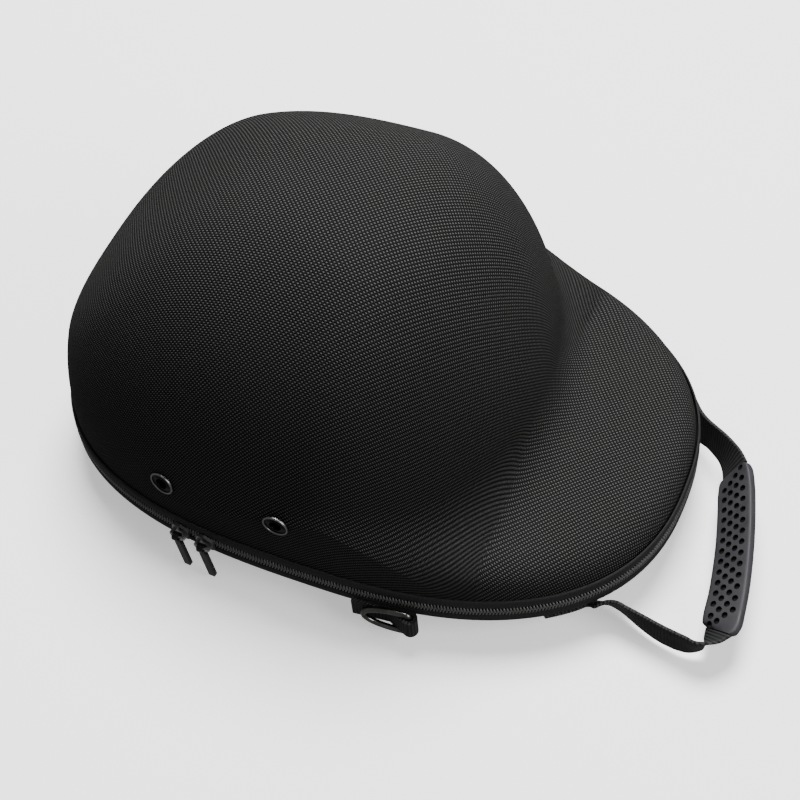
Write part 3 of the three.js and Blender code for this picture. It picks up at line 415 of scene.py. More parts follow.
class Shader:
    """A node material that is written as a chain of small calls."""

    def __init__(self, name, **sockets):
        self.material = bpy.data.materials.new(name)
        self.material.use_nodes = True
        self.tree = self.material.node_tree
        self.shader = self.tree.nodes["Principled BSDF"]
        for key, value in sockets.items():
            self.shader.inputs[key.replace("_", " ")].default_value = value

    def node(self, kind, **props):
        inputs = props.pop("inputs", {})
        n = self.tree.nodes.new(kind)
        for key, value in props.items():
            setattr(n, key, value)
        for key, value in inputs.items():
            if isinstance(value, bpy.types.NodeSocket):
                self.tree.links.new(value, n.inputs[key])
            else:
                n.inputs[key].default_value = value
        return n

    def math(self, operation, a, b=0.0, c=0.0, clamp=False):
        n = self.node("ShaderNodeMath", operation=operation, use_clamp=clamp, inputs={0: a, 1: b, 2: c})
        return n.outputs[0]

    def ramp(self, value, low, high, out_low=0.0, out_high=1.0):
        n = self.node(
            "ShaderNodeMapRange",
            inputs={"Value": value, "From Min": low, "From Max": high, "To Min": out_low, "To Max": out_high},
        )
        return n.outputs["Result"]

    def mix(self, factor, a, b):
        n = self.node("ShaderNodeMix", data_type="RGBA")
        for key, value in ((0, factor), (6, a), (7, b)):
            if isinstance(value, bpy.types.NodeSocket):
                self.tree.links.new(value, n.inputs[key])
            else:
                n.inputs[key].default_value = value
        return n.outputs[2]

    def noise(self, scale, detail=3.0, roughness=0.5, vector=None):
        if vector is None:
            vector = self.node("ShaderNodeTexCoord").outputs["Object"]
        inputs = {"Scale": scale, "Detail": detail, "Roughness": roughness, "Vector": vector}
        return self.node("ShaderNodeTexNoise", inputs=inputs).outputs["Fac"]

    def set(self, socket, value):
        self.tree.links.new(value, self.shader.inputs[socket])

    def bump(self, height, distance, strength=1.0, below=None):
        inputs = {"Height": height, "Distance": distance, "Strength": strength}
        if below is not None:
            inputs["Normal"] = below
        n = self.node("ShaderNodeBump", inputs=inputs)
        self.tree.links.new(n.outputs["Normal"], self.shader.inputs["Normal"])
        return n.outputs["Normal"]


def rgb(r, g, b):
    return (r, g, b, 1.0)


OVER_LIFT = 0.62
WEFT_SHARE = 0.86


def plain_weave(name, pitch, dark, light, gap_shade, roughness, relief, wander=0.0):
    """Plain woven cloth: yarns over and under each other, laid out by the uv lengths.

    The weft lies a little lower than the warp, so the warp's ridges show more.
    """
    s = Shader(name)
    s.shader.inputs["Specular IOR Level"].default_value = 0.1
    uv = s.node("ShaderNodeUVMap", uv_map="cloth").outputs["UV"]
    parts = s.node("ShaderNodeSeparateXYZ", inputs={0: uv})
    a, b = parts.outputs["X"], parts.outputs["Y"]
    if wander:
        shift = s.ramp(s.noise(55.0, 1.0), 0.0, 1.0, -wander, wander)
        a, b = s.math("ADD", a, shift), s.math("ADD", b, shift)
    rate = math.pi / (pitch * MM)
    sa = s.math("SINE", s.math("MULTIPLY", a, rate))
    sb = s.math("SINE", s.math("MULTIPLY", b, rate))
    over = s.math("MULTIPLY", sa, sb)
    warp = s.math("MULTIPLY_ADD", over, OVER_LIFT, s.math("POWER", s.math("ABSOLUTE", sa), 0.6))
    weft = s.math("MULTIPLY_ADD", over, -OVER_LIFT, s.math("POWER", s.math("ABSOLUTE", sb), 0.6))
    height = s.math("MAXIMUM", warp, s.math("MULTIPLY", weft, WEFT_SHARE))
    # Painted shade: the yarns' height also darkens the colour, so the low gaps between the yarns are painted
    # near-black; the same height sets the roughness.
    tone = s.ramp(height, 0.55, 1.45)
    # Painted highlight: the cells where the warp lies over are painted lighter, towards the light colour;
    # faint random clouds of lighter tone mix in.
    warp_highlight = s.ramp(over, -0.35, 0.6)
    cloud = s.ramp(s.noise(9.0, 4.0, 0.6), 0.3, 0.7, 0.0, 0.12)
    face = s.mix(s.math("MAXIMUM", warp_highlight, cloud), dark, light)
    s.set("Base Color", s.mix(tone, gap_shade, face))
    s.set("Roughness", s.ramp(tone, 0.0, 1.0, min(1.0, roughness + 0.2), roughness))
    s.bump(height, relief)
    return s.material


# The third colour of each weave is the near-black painted shade between its yarns; the second is its painted
# highlight on the warp-over yarns.
SHELL = plain_weave(
    "woven_shell", 1.0, rgb(0.0028, 0.0028, 0.0029), rgb(0.062, 0.062, 0.06), rgb(0.0004, 0.0004, 0.0004),
    0.65, 0.0003, 0.00012,
)
TRAY = plain_weave(
    "woven_tray", 0.62, rgb(0.005, 0.005, 0.0052), rgb(0.022, 0.022, 0.0225), rgb(0.0015, 0.0015, 0.0015),
    0.6, 0.00014,
)


def tape_material(name, tone, pitch=0.55):
    """Binding tape: fine ribs across it, with a slight sheen."""
    s = Shader(name)
    s.shader.inputs["Specular IOR Level"].default_value = 0.25
    uv = s.node("ShaderNodeUVMap", uv_map="cloth").outputs["UV"]
    parts = s.node("ShaderNodeSeparateXYZ", inputs={0: uv})
    rate = 2 * math.pi / (pitch * MM)
    rib = s.math("SINE", s.math("MULTIPLY", parts.outputs["X"], rate))
    fine = s.math("SINE", s.math("MULTIPLY", parts.outputs["Y"], rate * 1.3))
    height = s.math("MULTIPLY_ADD", fine, 0.4, rib)
    shade = s.ramp(height, -1.4, 1.4)
    wear = s.ramp(s.noise(40.0, 3.0), 0.35, 0.7, 0.0, 0.5)
    # Painted shade and highlight: by the ribs' height, their troughs are painted darker and their crests
    # lighter; the wear clouds are random lighter tone.
    colour = s.mix(s.math("MAXIMUM", shade, wear), rgb(*[tone * 0.5] * 3), rgb(*[tone * 1.4] * 3))
    s.set("Base Color", colour)
    s.set("Roughness", s.ramp(shade, 0.0, 1.0, 0.75, 0.55))
    s.bump(height, 0.00008)
    return s.material


TAPE = tape_material("binding_tape", 0.013)


RIB_PITCH, YARN_PITCH = 0.0016, 0.0011


def webbing_material():
    """Ribbed webbing: strong cross ribs, with two families of yarn in each rib."""
    s = Shader("ribbed_webbing")
    s.shader.inputs["Specular IOR Level"].default_value = 0.25
    uv = s.node("ShaderNodeUVMap", uv_map="cloth").outputs["UV"]
    parts = s.node("ShaderNodeSeparateXYZ", inputs={0: uv})
    along, across = parts.outputs["X"], parts.outputs["Y"]
    rib = s.math("SINE", s.math("MULTIPLY", along, 2 * math.pi / RIB_PITCH))
    yarn = s.math("SINE", s.math("MULTIPLY", across, 2 * math.pi / YARN_PITCH))
    weave = s.math("MULTIPLY", s.math("SINE", s.math("MULTIPLY", along, math.pi / RIB_PITCH)), yarn)
    height = s.math("MULTIPLY_ADD", weave, 0.5, rib)
    shade = s.ramp(height, -1.3, 1.4)
    # Painted shade and highlight: by the ribs' height, the troughs are painted darker and the crests lighter.
    s.set("Base Color", s.mix(shade, rgb(0.004, 0.004, 0.004), rgb(0.022, 0.022, 0.0225)))
    s.set("Roughness", s.ramp(s.noise(120.0, 3.0), 0.3, 0.7, 0.55, 0.72))
    s.bump(height, 0.00018)
    return s.material


WEBBING = webbing_material()


def nylon_material():
    s = Shader("coil_nylon", Roughness=0.34)
    s.shader.inputs["Specular IOR Level"].default_value = 0.6
    cloud = s.noise(300.0, 3.0)
    s.set("Base Color", s.mix(cloud, rgb(0.045, 0.045, 0.044), rgb(0.12, 0.12, 0.117)))
    s.set("Roughness", s.ramp(cloud, 0.3, 0.7, 0.28, 0.45))
    s.bump(cloud, 0.00003)
    return s.material


NYLON = nylon_material()


def dark_material(name, low, high, roughness):
    """Near-black, with faint clouds: painted shade behind the coil, over its dark core cloth, and inside
    holes.
    """
    s = Shader(name, Roughness=roughness)
    s.shader.inputs["Specular IOR Level"].default_value = 0.2
    s.set("Base Color", s.mix(s.noise(220.0, 3.0), rgb(low, low, low), rgb(high, high, high)))
    return s.material


# Behind the coil: the dark core cloth, painted darker than the binding tape as shade between the coil's
# turns.
CORE_CLOTH_SHADE = dark_material("coil_core_shade", 0.002, 0.006, 0.8)
# Inside the grip's holes: the grip's rubber painted near-black as shade.
HOLE_SHADE = dark_material("hole_shade", 0.0008, 0.0025, 0.7)


def metal_material(name, low, high, rough_low, rough_high, edge=None):
    """Plated metal with fine wear, brighter along its sharp edges."""
    s = Shader(name, Metallic=1.0)
    cloud = s.noise(260.0, 5.0, 0.6)
    streak = s.noise(65.0, 2.0)
    colour = s.mix(s.ramp(cloud, 0.3, 0.75), low, high)
    if edge:
        sharpness = s.node("ShaderNodeNewGeometry").outputs["Pointiness"]
        colour = s.mix(s.ramp(sharpness, 0.5, 0.58), colour, edge)
    s.set("Base Color", colour)
    s.set("Roughness", s.ramp(streak, 0.3, 0.7, rough_low, rough_high))
    s.bump(cloud, 0.00002, 0.6)
    return s.material


SLIDER = metal_material(
    "slider_plating", rgb(0.02, 0.02, 0.021), rgb(0.07, 0.07, 0.072), 0.2, 0.36, rgb(0.4, 0.4, 0.41),
)
RING = metal_material("ring_gunmetal", rgb(0.07, 0.073, 0.068), rgb(0.17, 0.176, 0.165), 0.18, 0.34)
EYELET = metal_material("eyelet_plating", rgb(0.16, 0.16, 0.16), rgb(0.3, 0.3, 0.3), 0.25, 0.4)
# The eyelet's plating again, painted near-black for its dish and barrel as painted shade.
DISH_SHADE = metal_material("eyelet_dish_shade", rgb(0.004, 0.004, 0.004), rgb(0.014, 0.014, 0.014), 0.25, 0.45)


def pull_material():
    """Black coating with a faint gloss, rubbed lighter at the tips."""
    s = Shader("pull_coating", Coat_Weight=0.1, Coat_Roughness=0.1)
    s.shader.inputs["Specular IOR Level"].default_value = 0.22
    place_z = s.node("ShaderNodeSeparateXYZ", inputs={0: s.node("ShaderNodeTexCoord").outputs["Object"]})
    tip = s.ramp(place_z.outputs["Z"], 0.0065, 0.003)
    worn = s.math("MULTIPLY", tip, s.ramp(s.noise(400.0, 4.0), 0.25, 0.65))
    s.set("Base Color", s.mix(worn, rgb(0.003, 0.003, 0.003), rgb(0.05, 0.042, 0.036)))
    s.set("Roughness", s.ramp(worn, 0.0, 1.0, 0.24, 0.5))
    s.bump(s.noise(700.0, 3.0), 0.00001)
    return s.material


PULL = pull_material()


def rubber_material(name, low, high):
    s = Shader(name, Roughness=0.6)
    s.shader.inputs["Specular IOR Level"].default_value = 0.4
    cloud = s.noise(180.0, 5.0, 0.65)
    s.set("Base Color", s.mix(cloud, low, high))
    s.set("Roughness", s.ramp(cloud, 0.3, 0.7, 0.5, 0.68))
    s.bump(s.noise(1500.0, 3.0), 0.00003)
    return s.material


GRIP = rubber_material("grip_rubber", rgb(0.015, 0.0145, 0.017), rgb(0.03, 0.029, 0.0335))


def paint(obj, *materials):
    obj.data.materials.clear()
    for m in materials:
        obj.data.materials.append(m)


# Upper shell


def upper_shell():
    angles = even_angles(252)
    rim = outline_point(angles, 0, RIM_Z)
    azimuth = np.arctan2(rim[:, 1] - CORE[1], rim[:, 0] - CORE[0])

    def meridian(elevation):
        a, e = np.broadcast_arrays(azimuth[None, :], elevation)
        d = np.stack([np.cos(a) * np.cos(e), np.sin(a) * np.cos(e), np.sin(e)], -1)
        return on_ray(case_field, CORE, d)

    fine = np.linspace(0, math.pi / 2, 241)
    trail = meridian(fine[:, None])
    step = np.diff(trail, axis=0)
    length = np.linalg.norm(step, axis=2)
    heading = step / np.maximum(length, 1e-9)[..., None]
    bend = np.arccos(np.clip((heading[1:] * heading[:-1]).sum(-1), -1, 1))
    measure = np.cumsum(length + 25 * np.concatenate([0 * bend[:1], bend]), axis=0)
    measure = np.concatenate([0 * measure[:1], measure])

    def rows(count, inset):
        wanted = np.arange(count)[:, None] / count * measure[-1]
        e = np.stack([np.interp(wanted[:, j], measure[:, j], fine) for j in range(len(angles))], 1)
        p = meridian(e)
        if inset:
            p = p - inset * field_normal(case_field, p)
        p[0] = outline_point(angles, -inset, RIM_Z)
        return p

    top = on_ray(case_field, CORE, np.array([[0, 0, 1.0]]))
    outer, inner = rows(120, 0.0), rows(24, WALL)
    inner_top = top - WALL * field_normal(case_field, top)
    points, faces = bowl(top[0], [*outer[::-1], *inner], inner_top[0])
    lengths = drape(case_field, RIM_Z, False)
    obj = make("shell_cover", points, faces, lengths(points), "root", ["upper_shell"], 50)
    cutters = []
    turn = np.linspace(0, 2 * math.pi, 32, endpoint=False)
    radius, reach = EYELET_BARREL + GAP, 3 * WALL
    across, up = radius * np.cos(turn), radius * np.sin(turn)
    rings = [np.stack([across, 0 * turn + y, up], -1) for y in (-reach, reach)]
    for name, angle, rise in EYELETS:
        m = lathe_matrix(*side_place(angle, rise * CROWN_HEIGHT))
        p, f = swept([place(r, m) for r in rings])
        cutters.append(make(f"hole_{name}", p, f))
    cut(obj, cutters)
    obj.data.set_sharp_from_angle(angle=50 * RAD)
    paint(obj, SHELL)


def side_place(angle, height):
    a = angle * RAD
    origin = np.array([0, WIDEST_Y, RIM_Z + height])
    p = on_ray(case_field, origin, np.array([[math.cos(a), math.sin(a), 0.0]]))
    return p[0], field_normal(case_field, p)[0]


def lathe_matrix(origin, normal):
    side = unit(np.cross(normal, [0, 0, 1.0]))
    return basis(side, normal, np.cross(side, normal), origin)


# Lower shell


def tray_rings(angles, inset, rows):
    rings = [outline_point(angles, -inset, TRAY_DEPTH)]
    for i in range(rows + 1):
        turn = math.pi / 2 * i / rows
        offset = -inset - (EDGE_INSET - inset) * (1 - math.cos(turn))
        rings.append(outline_point(angles, offset, EDGE_DEPTH - (EDGE_DEPTH - inset) * math.sin(turn)))
    return rings


def lower_shell():
    angles = even_angles(252)
    outer, inner = tray_rings(angles, 0, 26), tray_rings(angles, WALL, 8)
    middle = np.array([0, WIDEST_Y, 0.0])
    # The flat underside and floor get rings of their own, so that the cloth's yarns run straight there
    under = [middle + (outer[-1] - middle) * share for share in (0.2, 0.4, 0.6, 0.8)]
    floor_middle = middle + [0, 0, WALL]
    points, faces = bowl(middle, [*under, *outer[::-1], *inner], floor_middle)
    lengths = drape(tray_field, TRAY_DEPTH, True)
    obj = make("tray_cover", points, faces, lengths(points), "root", ["lower_shell"], 50)
    paint(obj, TRAY)


# Seam: tapes, hinge and zip


def tray_inset(z):
    down = min(1.0, max(0.0, 1 - z / EDGE_DEPTH))
    return EDGE_INSET * (1 - math.sqrt(1 - down * down))


def seam_ends():
    start, end = (90 + HINGE_HALF_ANGLE) * RAD, (90 - HINGE_HALF_ANGLE) * RAD + 2 * math.pi
    gap = HINGE_END_GAP / REAR_REACH
    return start + gap, end - gap


TAPE_STEP = 2.5


def tape(name, low, high, back, start, end, node, material, crown=0.0):
    """A band along the seam whose face bulges between its edges.

    back lists the section's other points as (offset, height), from the top down.
    """
    turn = np.linspace(-1, 1, 13)
    z = (low + high) / 2 + (high - low) / 2 * np.sin(turn * math.pi / 2)
    face = TAPE_FACE - crown + crown * np.sqrt(np.maximum(0, 1 - np.sin(turn * math.pi / 2) ** 2))
    face[0] = face[-1] = TAPE_FACE - crown
    section = [*zip(face, z), *back]
    angles, run = band_angles(start, end, TAPE_STEP)
    rings = [[outline_point(a, s[0], s[1]) for s in section] for a in angles]
    points, faces = swept(rings)
    girth = run_along(np.array(section))
    uv = np.array([(r, g) for r in run for g in girth])
    obj = make(name, points, faces, uv, "root", [node], 60)
    paint(obj, material)


def seam():
    start, end = seam_ends()
    upper_high = RIM_Z + UPPER_TAPE_HEIGHT
    tape("tape_over_zip", RIM_Z, upper_high, [(GAP, upper_high), (GAP, RIM_Z)], start, end,
         "upper_tape", TAPE, crown=0.9)
    low = TRAY_DEPTH - LOWER_TAPE_HEIGHT
    back = [(GAP, TRAY_DEPTH), (GAP, EDGE_DEPTH), (GAP - tray_inset(low), low)]
    tape("tape_under_zip", low, TRAY_DEPTH, back, start, end, "lower_tape", TAPE, crown=0.9)
    low, high = TRAY_DEPTH - HINGE_MARGIN, RIM_Z + HINGE_MARGIN
    back = [
        (GAP, high), (GAP, RIM_Z - GAP), (-CHAIN_DEPTH, RIM_Z - GAP), (-CHAIN_DEPTH, TRAY_DEPTH + GAP),
        (GAP, TRAY_DEPTH + GAP), (GAP, EDGE_DEPTH), (GAP - tray_inset(low), low),
    ]
    tape("hinge_cloth", low, high, back, (90 - HINGE_HALF_ANGLE) * RAD, (90 + HINGE_HALF_ANGLE) * RAD,
         "hinge_strip", TAPE, crown=0.5)


TOOTH_PITCH = 1.4
TOOTH_WIRE = 0.4
TOOTH_PATH = [  # along the seam, height from the middle, proud of the outline
    (-0.42, 2.0, 0.2),
    (-0.32, 1.95, 0.85),
    (-0.08, 1.45, 1.2),
    (0.2, 0.65, 1.25),
    (0.4, -0.1, 1.0),
    (0.46, -0.45, 0.5),
]


CORE_PROUD, CORE_STEP, COIL_END_MARGIN = 0.35, 3.0, 0.8


def zip_coil():
    start, end = seam_ends()
    low, high = TRAY_DEPTH + GAP, TRAY_DEPTH + GAP + ZIP_HEIGHT
    angles, _ = band_angles(start, end, CORE_STEP)
    section = [(-CHAIN_DEPTH, low), (CORE_PROUD, low), (CORE_PROUD, high), (-CHAIN_DEPTH, high)]
    points, faces = swept([[outline_point(a, s[0], s[1]) for s in section] for a in angles])
    parts, all_faces, base = [points], list(faces), len(points)
    fine = np.linspace(start, end, 4001)
    p = outline_point(fine, 0, 0)
    total = run_along(p)
    path = np.array(TOOTH_PATH)
    sides = 6
    turn = 2 * math.pi * np.arange(sides) / sides
    for flip, shift in ((1, 0.0), (-1, 0.5)):
        first, last = COIL_END_MARGIN + shift * TOOTH_PITCH, total[-1] - COIL_END_MARGIN
        for s in np.arange(first, last, TOOTH_PITCH):
            a = np.interp(s + path[:, 0], total, fine)
            centre = outline_point(a, path[:, 2], ZIP_Z + flip * path[:, 1])
            along = unit(np.gradient(centre, axis=0))
            out = outline_normal(a)
            side = unit(np.cross(along, out))
            out = np.cross(side, along)
            ring = centre[:, None] + TOOTH_WIRE * (
                np.cos(turn)[None, :, None] * out[:, None] + np.sin(turn)[None, :, None] * side[:, None]
            )
            q, f = swept(ring)
            parts.append(q)
            all_faces += [tuple(i + base for i in face) for face in f]
            base += len(q)
    obj = make("zip_coil", np.concatenate(parts), all_faces, None, "root", ["zip_chain"], 60)
    paint(obj, NYLON, CORE_CLOTH_SHADE)
    # The core box behind the coil takes the near-black painted shade.
    for polygon in obj.data.polygons[: len(faces)]:
        polygon.material_index = 1


# Eyelets


RIM_BASE, MOUTH_RADIUS = 0.35, 1.1
RIM_ROWS = range(3, 12)


def eyelets():
    through = WALL + 2 * GAP
    r, lip, floor = EYELET_RADIUS, EYELET_LIP, EYELET_FLOOR + GAP
    profile = [(EYELET_BORE, -through), (EYELET_BARREL, -through), (EYELET_BARREL, GAP), (r, GAP)]
    # Rolled rim, then the dish and the smooth mouth of the barrel
    for i in range(9):
        t = math.pi * i / 8
        profile.append((r - lip / 2 + lip / 2 * math.cos(t), GAP + RIM_BASE + (lip - RIM_BASE) * math.sin(t)))
    profile += [(r - 1.15 * lip, floor), (EYELET_BORE + MOUTH_RADIUS, floor)]
    for i in range(1, 6):
        t = math.pi / 2 * i / 5
        height = floor + 0.35 * math.sin(2 * t) - 0.5 * (1 - math.cos(t))
        profile.append((EYELET_BORE + MOUTH_RADIUS * (1 - math.sin(t)), height))
    turn = np.linspace(0, 2 * math.pi, 56, endpoint=False)
    for name, angle, rise in EYELETS:
        m = lathe_matrix(*side_place(angle, rise * CROWN_HEIGHT))
        rings = [place([(x * math.cos(t), y, x * math.sin(t)) for x, y in profile], m) for t in turn]
        points, faces = swept(rings, lids=False)
        obj = make(f"eyelet_ring_{name}", points, faces, None, "root", [f"eyelet_{name}"], 50)
        paint(obj, EYELET, DISH_SHADE)
        # The rolled rim keeps the bright plating; the dish and barrel inside it take the near-black painted
        # shade.
        for polygon in obj.data.polygons:
            bright = all(v % len(profile) in RIM_ROWS for v in polygon.vertices)
            polygon.material_index = 0 if bright else 1


# D-rings and their tabs

LOOP_INNER = RING_WIRE / 2 + GAP
LOOP_OUTER = LOOP_INNER + TAB_CLOTH
TAB_OFFSET = TAPE_FACE + GAP + TAB_STAND_OFF


def tab_matrix(angle, rearward):
    a = angle * RAD
    turn = rearward * TAB_LENGTH / outline_radius(a)
    bar = outline_point(a, TAB_OFFSET + LOOP_OUTER, RING_MIDDLE)
    rear = outline_point(a - turn, TAB_OFFSET + LOOP_OUTER, RING_MIDDLE)
    along = unit(rear - bar)
    up = np.array([0, 0, 1.0])
    outwards = np.cross(up, along) * rearward
    return basis(along * rearward, outwards, up, bar)


def ring_piece(side, matrix, rearward):
    steps, sides, wire = 96, 14, RING_WIRE / 2
    t = 2 * math.pi * np.arange(steps) / steps
    bow = np.cos(t) > 0
    reach = np.where(bow, RING_LENGTH - RING_CORNER, RING_CORNER)
    power = np.where(bow, RING_BOW_POWER, RING_BAR_POWER)
    along_bow = np.abs(np.cos(t) / reach) ** power
    up = np.abs(np.sin(t) / (RING_HEIGHT / 2)) ** power
    radius = (along_bow + up) ** (-1 / power)
    centre = np.stack([rearward * (RING_CORNER + radius * np.cos(t)), 0 * t, radius * np.sin(t)], -1)
    along = unit(np.roll(centre, -1, 0) - np.roll(centre, 1, 0))
    flat = np.stack([-along[:, 2], 0 * t, along[:, 0]], -1)
    j = 2 * math.pi * np.arange(sides) / sides
    ring = centre[:, None] + wire * np.cos(j)[None, :, None] * flat[:, None]
    ring[:, :, 1] += wire * np.sin(j)[None, :]
    points, faces = swept(ring, lids=False)
    placed = place(points, matrix)
    obj = make(f"ring_wire_{side}", placed, faces, None, f"ring_{side}", [f"d_ring_{side}"])
    paint(obj, RING)


def tab_piece(side, matrix, rearward):
    """Webbing folded round the ring's bar: a drawn side view with an eye for the bar, given a width."""
    back, face = -LOOP_OUTER, -LOOP_OUTER + TAB_CLOTH
    fold = TAB_FOLD_ANGLE * RAD
    outline = [(TAB_LENGTH, back), (TAB_LENGTH, face)]
    join = (LOOP_OUTER - face * math.sin(fold)) / math.cos(fold)
    outline += [(join + (TAB_LENGTH - join) * (1 - k / 12), face) for k in range(1, 13)]
    for t in np.linspace(fold, 1.5 * math.pi, 33):
        outline.append((LOOP_OUTER * math.cos(t), LOOP_OUTER * math.sin(t)))
    outline += [(TAB_LENGTH * k / 12, back) for k in range(1, 12)]
    eye = [(LOOP_INNER * math.cos(t), LOOP_INNER * math.sin(t)) for t in np.linspace(fold, 1.5 * math.pi, 33)]
    eye.append(((LOOP_INNER - face * math.sin(fold)) / math.cos(fold), face))
    points, faces, uv = slab_with_eye(outline, eye, TAB_WIDTH, rearward)
    placed, node = place(points, matrix), f"ring_tab_{side}"
    obj = make(f"{node}_webbing", placed, faces, uv, "root", [node], 45)
    bevel(obj, 0.35)
    paint(obj, WEBBING)


def slab_with_eye(outline, eye, width, rearward):
    """A slab from a drawn outline with one hole, as points, faces and uv lengths."""
    loops = [outline, eye]
    flat = [p for loop in loops for p in loop]
    triangles = tessellate_polygon([[Vector((x, y, 0)) for x, y in loop] for loop in loops])
    points, uv = [], []
    girth = [*run_along(np.array(outline)), *run_along(np.array(eye))]
    for z in (-width / 2, width / 2):
        for (x, y), g in zip(flat, girth):
            points.append((rearward * x, y, z))
            uv.append((g, z))
    n = len(flat)
    faces = [tuple(t) for t in triangles] + [tuple(n + i for i in reversed(t)) for t in triangles]
    first = 0
    for loop in loops:
        for i in range(len(loop)):
            k = (i + 1) % len(loop)
            faces.append((first + i, first + k, n + first + k, n + first + i))
        first += len(loop)
    return points, faces, uv


def bevel(obj, width, segments=2):
    modifier = obj.modifiers.new("soft_edges", "BEVEL")
    modifier.width = width * MM
    modifier.segments = segments
    modifier.limit_method = "ANGLE"
    modifier.angle_limit = 40 * RAD


def rings_and_tabs():
    for side, angle, rearward in (("near", TAB_ANGLE, 1), ("far", mirrored(TAB_ANGLE), -1)):
        m = tab_matrix(angle, rearward)
        ring_piece(side, m, rearward)
        tab_piece(side, m, rearward)


# Handle


def handle_end(angle, rearward):
    past = HANDLE_PAST_SEAM / outline_radius(angle * RAD)
    return outline_point(angle * RAD + rearward * past, HANDLE_STAND_OFF, HANDLE_RISE * HANDLE_END_RISE)


ROUTE = [handle_end(STRAP_SEWN_TO, 1)]
for across, ahead, rise, _ in HANDLE_ROUTE:
    ROUTE.append(np.array([across * HALF_WIDTH, FRONT_Y - ahead * HANDLE_REACH, rise * HANDLE_RISE]))
ROUTE += [handle_end(mirrored(STRAP_SEWN_TO), -1)]
LEANS = [HANDLE_END_LEAN, *[row[3] for row in HANDLE_ROUTE], HANDLE_END_LEAN]


def route_point(t):
    """Centripetal spline through ROUTE, t from 0 to 1."""
    n = len(ROUTE)
    p = (n - 1) * t
    i = min(int(p), n - 2)
    w = p - i
    p1, p2 = ROUTE[i], ROUTE[i + 1]
    p0 = ROUTE[i - 1] if i > 0 else 2 * ROUTE[0] - ROUTE[1]
    p3 = ROUTE[i + 2] if i + 2 < n else 2 * ROUTE[-1] - ROUTE[-2]
    d0, d1, d2 = [np.linalg.norm(b - a) ** 0.5 for a, b in ((p0, p1), (p1, p2), (p2, p3))]
    t1 = ((p1 - p0) / d0 - (p2 - p0) / (d0 + d1) + (p2 - p1) / d1) * d1
    t2 = ((p2 - p1) / d1 - (p3 - p1) / (d1 + d2) + (p3 - p2) / d2) * d1
    return p1 + t1 * w + (-3 * p1 + 3 * p2 - 2 * t1 - t2) * w**2 + (2 * p1 - 2 * p2 + t1 + t2) * w**3


ROUTE_T = np.linspace(0, 1, 2601)
ROUTE_P = np.array([route_point(t) for t in ROUTE_T])
ROUTE_RUN = run_along(ROUTE_P)
ROUTE_LENGTH = ROUTE_RUN[-1]


def handle_frame(distance):
    d = min(max(distance, 0.0), ROUTE_LENGTH)
    centre = np.array([np.interp(d, ROUTE_RUN, ROUTE_P[:, c]) for c in range(3)])
    low, high = max(0.0, d - 0.4), min(ROUTE_LENGTH, d + 0.4)
    ends = [np.array([np.interp(e, ROUTE_RUN, ROUTE_P[:, c]) for c in range(3)]) for e in (low, high)]
    along = unit(ends[1] - ends[0])
    raw = np.interp(d, ROUTE_RUN, ROUTE_T) * (len(LEANS) - 1)
    lean = RAD * np.interp(raw, np.arange(len(LEANS)), LEANS)
    outer = unit(np.array([along[1], -along[0], 0.0]))
    across = outer * math.sin(lean) + np.array([0, 0, math.cos(lean)])
    across = unit(across - along * across.dot(along))
    return centre, across, along, np.cross(along, across)


def edge_angle_below(start, length):
    step, angle, done = 0.002, start, 0.0
    while done < length and angle < math.pi / 2:
        done += step * math.hypot(EDGE_INSET * math.sin(angle), EDGE_DEPTH * math.cos(angle))
        angle += step
    return angle


def sewn_ring(section, plan):
    top = STRAP_TOP_ANGLE * RAD
    low = edge_angle_below(top, STRAP_WIDTH)
    stand = GAP + STRAP_THICKNESS / 2
    ring = []
    for x, y in section:
        edge = low + (top - low) * (x / STRAP_WIDTH + 0.5)
        n = unit(np.array([math.cos(edge) / EDGE_INSET, -math.sin(edge) / EDGE_DEPTH]))
        offset = -EDGE_INSET * (1 - math.cos(edge)) + n[0] * (stand + y)
        ring.append(outline_point(plan, offset, EDGE_DEPTH * (1 - math.sin(edge)) + n[1] * (stand + y)))
    return ring


def spline_rings(rings, times):
    """More rings, on a smooth curve through each point of the given ones."""
    r = np.asarray(rings)
    padded = np.concatenate([2 * r[:1] - r[1:2], r, 2 * r[-1:] - r[-2:-1]])
    out = []
    for i in range(len(r) - 1):
        p0, p1, p2, p3 = padded[i : i + 4]
        for w in np.arange(times) / times:
            square = (2 * p0 - 5 * p1 + 4 * p2 - p3) * w**2
            cube = (3 * p1 - p0 - 3 * p2 + p3) * w**3
            out.append(0.5 * (2 * p1 + (p2 - p0) * w + square + cube))
    out.append(r[-1])
    return np.array(out)


GRIP_FROM = ROUTE_LENGTH * GRIP_MIDDLE_SHARE - GRIP_LENGTH / 2
GRIP_TO = GRIP_FROM + GRIP_LENGTH


def strap_piece(side, rings, section, node):
    rings = spline_rings(rings, 6)
    run = run_along(rings.mean(1))
    points, faces = swept(rings)
    uv = np.array([(r, s[0]) for r in run for s in section])
    obj = make(f"strap_webbing_{side}", points, faces, uv, "root", [node], 60)
    paint(obj, WEBBING)


def handle():
    section = rounded_band(STRAP_WIDTH, STRAP_THICKNESS)

    def free(a, b, count):
        rings = []
        for d in np.linspace(a, b, count + 1):
            centre, across, _, through = handle_frame(d)
            rings.append([centre + across * x + through * y for x, y in section])
        return rings

    angles = np.linspace(STRAP_SEWN_FROM, STRAP_SEWN_TO, 5)
    sewn_near = [sewn_ring(section, a * RAD) for a in angles]
    sewn_far = [sewn_ring(section, mirrored(a) * RAD) for a in angles]
    strap_piece("near", [*sewn_near, *free(0, GRIP_FROM - GAP, 12)], section, "handle_strap_near")
    strap_piece("far", [*free(GRIP_TO + GAP, ROUTE_LENGTH, 10), *sewn_far[::-1]], section, "handle_strap_far")


